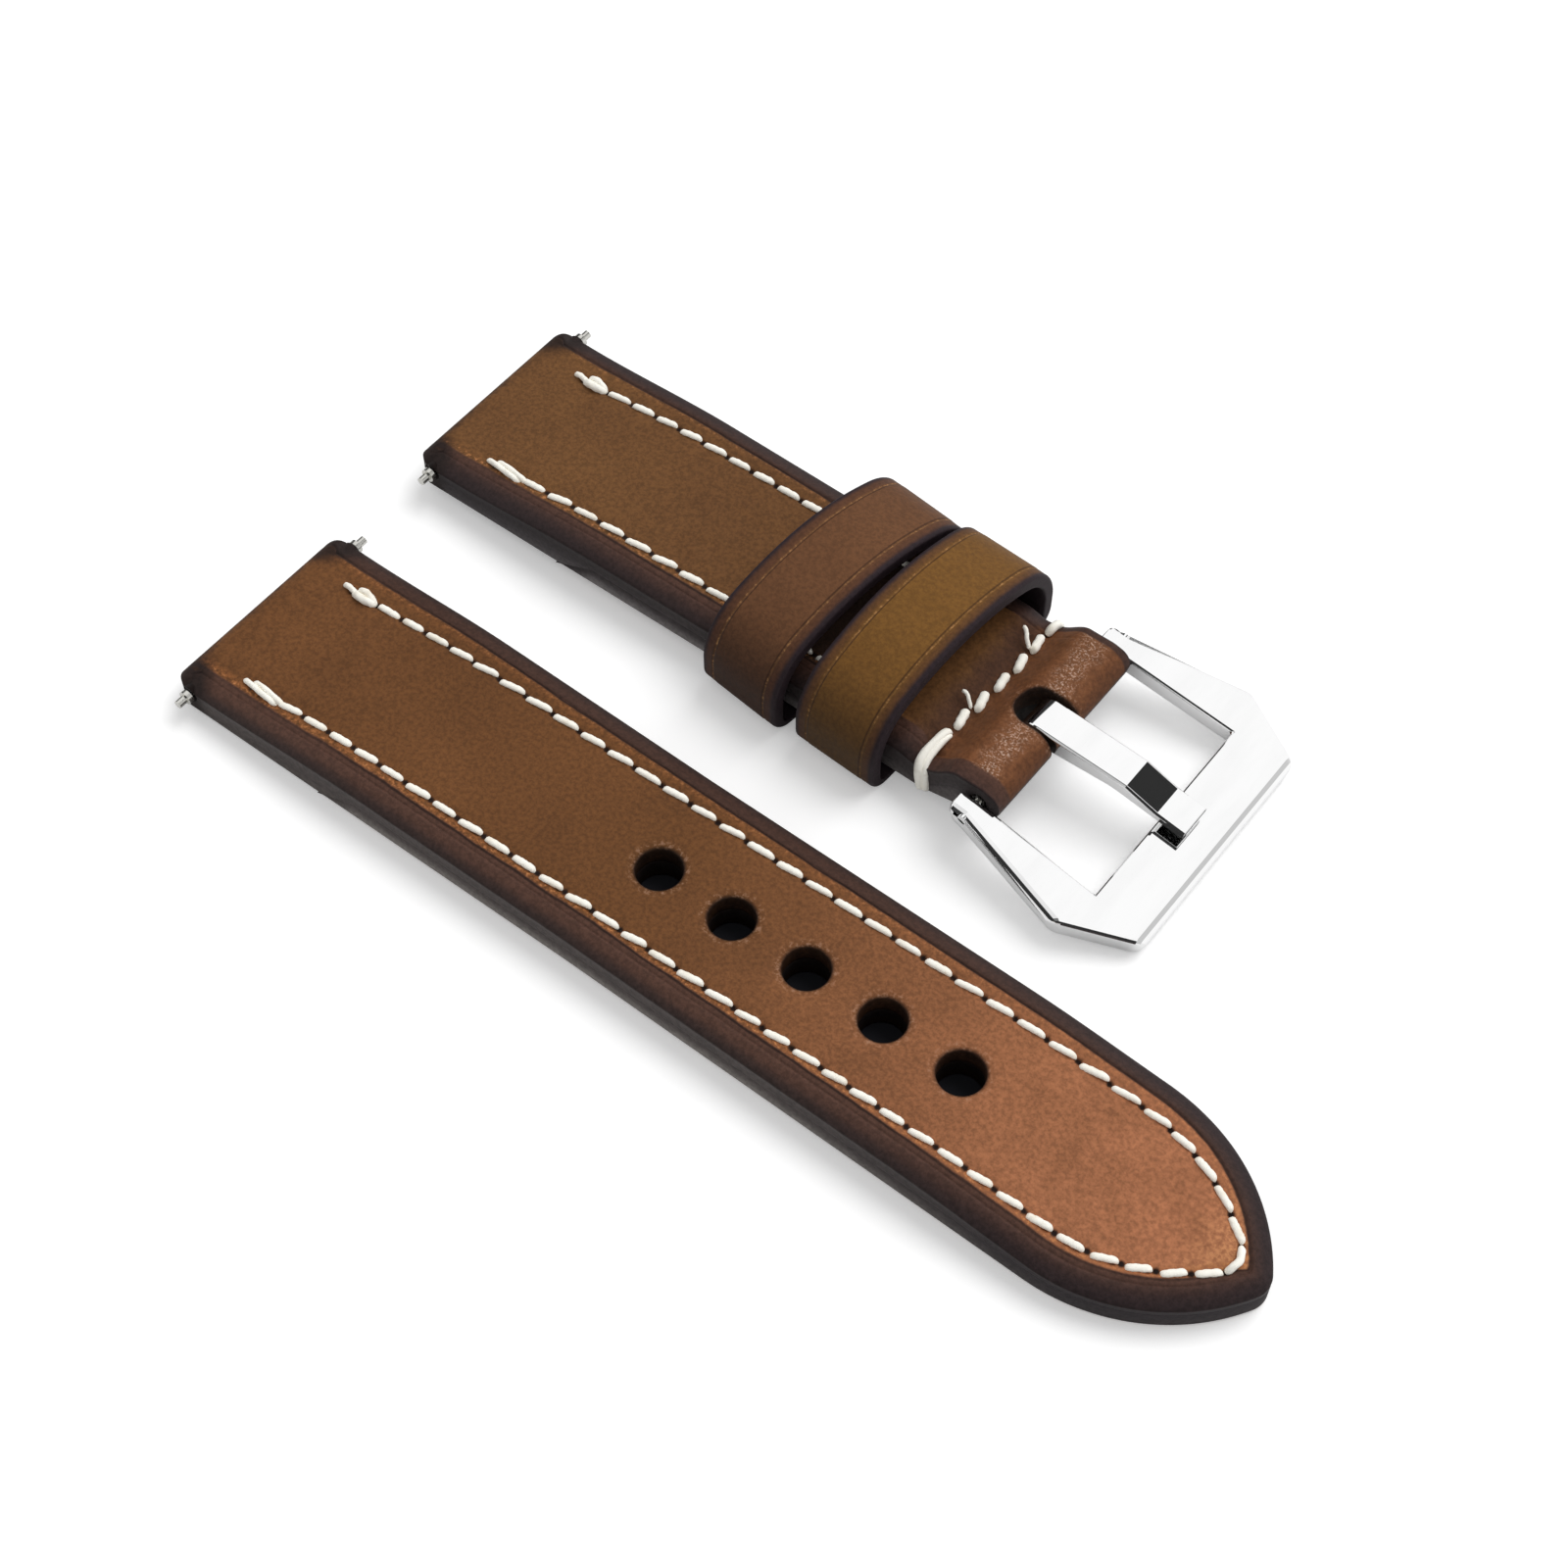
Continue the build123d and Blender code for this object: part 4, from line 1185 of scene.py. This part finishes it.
# %% [markdown]
# A real buckle has no razor edges: its outside is ground to a wide bevel, its inside only
# broken.  A modifier's nodes give each sharp edge of the CAD solid a weight, and the bevel
# that follows is as wide as the weight says.  Editing the solid would lose its exact shape.

# %% Edge weights and steel pieces
SHORTEST_EDGE, OUTER_Y, FRONT_X = 0.0002, 0.0128, (BUCKLE_PLACE[0] + BAR_X + 20.3) * MM
FRAME_BEVEL, TONGUE_BEVEL = 0.00075, 0.00016


class EdgeWeights(Finish):
    """A modifier's nodes, from the mesh that comes in to the mesh that goes out."""

    def __init__(self, name):
        self.tree = bpy.data.node_groups.new(name, "GeometryNodeTree")
        for way in ("INPUT", "OUTPUT"):
            self.tree.interface.new_socket("Geometry", in_out=way, socket_type="NodeSocketGeometry")
        self.place, self.end = (self.node("GeometryNodeInputMeshEdgeVertices", {}, {}, f"Position {n}")
                                for n in (1, 2))


def long_edges():
    """Weights for sharp edges, in metres: all along the outside, half inside.

    Edges shorter than a limit, at the rims of bores, get none."""
    edges = EdgeWeights("long edges")
    ends = {0: edges.place, 1: edges.end}
    length = edges.node("ShaderNodeVectorMath", {"operation": "DISTANCE"}, ends, "Value")
    angle = edges.node("GeometryNodeInputMeshEdgeAngle", {}, {}, "Unsigned Angle")
    aside = abs(edges.axis("Y") - BUCKLE_PLACE[1] * MM)
    outer = aside.over(OUTER_Y).most(edges.axis("X").over(FRONT_X))
    weight = length.over(SHORTEST_EDGE) * angle.over(radians(25)) * (outer * 0.5 + 0.5)
    values = {"Geometry": edges.node("NodeGroupInput", {}, {}), "Name": "bevel_weight_edge", "Value": weight}
    settings = {"data_type": "FLOAT", "domain": "EDGE"}
    stored = edges.node("GeometryNodeStoreNamedAttribute", settings, values)
    edges.feed(edges.tree.nodes.new("NodeGroupOutput"), {0: stored})
    return edges.tree


LONG_EDGES = long_edges()
BUCKLE_STEEL = steel("polished steel", (0.97, 0.97, 0.97), 0.02, 0.09)
BAR_STEEL = steel("turned steel", (0.68, 0.67, 0.63), 0.16, 0.32)
for node, obj in frame["nodes"].items():
    if obj.hide_render:
        continue
    polished = node in ("buckle_frame", "buckle_tongue")
    obj.data.materials.clear()
    obj.data.materials.append(BUCKLE_STEEL if polished else BAR_STEEL)
    if polished:
        obj.modifiers.new("join faces", "WELD").merge_threshold = 0.000002
        obj.modifiers.new("all but the rims of bores", "NODES").node_group = LONG_EDGES
        soften = obj.modifiers.new("polished edges", "BEVEL")
        soften.segments, soften.limit_method = 3, "WEIGHT"
        soften.width = FRAME_BEVEL if node == "buckle_frame" else TONGUE_BEVEL
        soften.use_clamp_overlap = node == "buckle_tongue"
    print("CAD solid kept:", node)

# %% [markdown]
# ## Table, light and camera
# The strap lies on a white table in soft light from high up behind it, so its soft
# shadow falls towards the viewer.  The table glows a little for the camera alone, which
# makes it white without adding light to the object, and keeps the shadow.  Seen from below
# it is clear, because the buckle can swing down past it.

# %% Table
TABLE_REACH, TABLE_Z = 3.0, -0.00003
TABLE_SHADE, TABLE_GLOW = 0.9, 0.26
table_mesh = bpy.data.meshes.new("table")
table_corners = [(x * TABLE_REACH, y * TABLE_REACH, TABLE_Z) for x, y in ((-1, -1), (1, -1), (1, 1), (-1, 1))]
table_mesh.from_pydata(table_corners, [], [(0, 1, 2, 3)])
table = put_in_scene("table", table_mesh)
print("table corners:", table_corners)

# %% [markdown]
# Two things would go wrong with plain white cloth.  The punched holes would show it
# bright, where the photo's holes are dark, so a painted shadow makes it dark under their
# row, without its glow.  And the steel would mirror it far to the left, so mirrored rays
# find it dark there.

# %% The table's finish
cloth = Finish("white table", **{"Specular IOR Level": 0.0, "Emission Strength": 1.0})
table_x = cloth.axis("X") * 1000
table_y = cloth.axis("Y") * 1000 - HOLE_PLACE[1]
# Painted shadow: the table is dark under the row of punched holes, and has no glow there.
painted_shadow_under_holes = abs(table_x - 10).rise(24, 23) * abs(table_y).rise(4.5, 3.5)
beyond = cloth.ray("Glossy") * table_x.rise(-75, -105)
lit = cloth.mix(painted_shadow_under_holes.most(beyond), (TABLE_SHADE, TABLE_SHADE, TABLE_SHADE), (0.03, 0.03, 0.035))
glow = cloth.mix(cloth.ray("Camera") * (1 - painted_shadow_under_holes), (0.0, 0.0, 0.0), (TABLE_GLOW, TABLE_GLOW, TABLE_GLOW))
from_below = cloth.node("ShaderNodeNewGeometry", {}, {}, "Backfacing")
cloth.feed(cloth.shader, {"Emission Color": glow, "Alpha": 1 - from_below})
table_mesh.materials.append(cloth.finished(lit, 0.9))

# %% [markdown]
# Polished steel shows nothing but its surroundings.  A photographer stands black cards
# round it, so that its edges draw as thin dark lines.  The world does the same for
# mirrored rays: white all round, with a dark card behind, one on the viewer's side, one
# low on the far left and a grey one on the right.  All else gets an even soft light.

# %% Light
class Sky(Finish):
    """The world's nodes; place is the direction that a ray looks in."""

    def __init__(self, world):
        world.use_nodes = True
        self.start(world.node_tree, "ShaderNodeBackground", "ShaderNodeOutputWorld", "Generated")


SKY_LIGHT = 0.56
world = bpy.data.worlds.new("studio")
bpy.context.scene.world = world
sky = Sky(world)
east, north, up = (sky.axis(name) for name in "XYZ")
card_behind = east.rise(0.19, 0.2) * east.rise(0.43, 0.42) * north.rise(0.34, 0.36) * up.rise(0.6, 0.62)
card_before = east.rise(-0.55, -0.5) * east.rise(0.8, 0.7) * north.rise(-0.02, -0.12) * up.rise(0.0, 0.06)
card_low = east.rise(-0.4, -0.5) * north.rise(0.2, 0.3) * up.rise(0.66, 0.6)
dusk = east.rise(0.43, 0.46) * up.rise(0.35, 0.42) * 0.42
pale = east.rise(-0.1, -0.12) * east.rise(-0.26, -0.24) * north.rise(-0.5, -0.6) * 0.5
mirrored_light = 1 - card_behind.most(card_before - pale).most(card_low).most(dusk) * 0.97
plain_light = SKY_LIGHT + (mirrored_light - SKY_LIGHT) * sky.ray("Glossy")
sky.feed(sky.shader, {"Color": plain_light.most(sky.ray("Camera")), "Strength": 1.0})
print("nodes of the sky:", len(sky.tree.nodes))

# %% [markdown]
# The shadow in the photo is soft and falls towards the viewer, as from a window behind
# the table.  A sun lamp with a wide angle gives that edge; it is hidden from mirrored
# rays, because the steel already has its cards.

# %% Window light
def compass(azimuth, height):
    """The direction towards an azimuth and a height in degrees."""
    a, e = radians(azimuth), radians(height)
    return Vector((sin(a) * cos(e), -cos(a) * cos(e), sin(e)))


window = bpy.data.lights.new("window", "SUN")
window.energy, window.angle = 1.8, radians(46)
lamp = put_in_scene("window", window)
from_where = compass(165, 52)
lamp.rotation_mode = "QUATERNION"
lamp.rotation_quaternion = from_where.to_track_quat("Z", "Y")
lamp.visible_glossy = False
print("the window shines from", [round(v, 2) for v in from_where])

# %% [markdown]
# ## Camera
# The photo was taken from the front right and some 55 degrees up.  The numbers come from
# fitting a lens to points of the strap whose places are known, because a camera set by
# eye drifts a few millimetres at one end while the other looks right.

# %% Camera
TARGET = Vector((-3.87, -4.92, 4.8)) * MM
DISTANCE = 0.2581
back = compass(38.05, 55.5)
lens = bpy.data.cameras.new("photo_camera")
lens.lens, lens.sensor_width = 62.235, 36.0
lens.clip_start = 0.01
camera = put_in_scene("photo_camera", lens)
camera.location = TARGET + back * DISTANCE
camera.rotation_mode = "QUATERNION"
camera.rotation_quaternion = (-back).to_track_quat("-Z", "Y")
bpy.context.scene.camera = camera
bpy.context.scene.view_settings.view_transform = "Standard"
print("camera at", [round(v, 3) for v in camera.location])
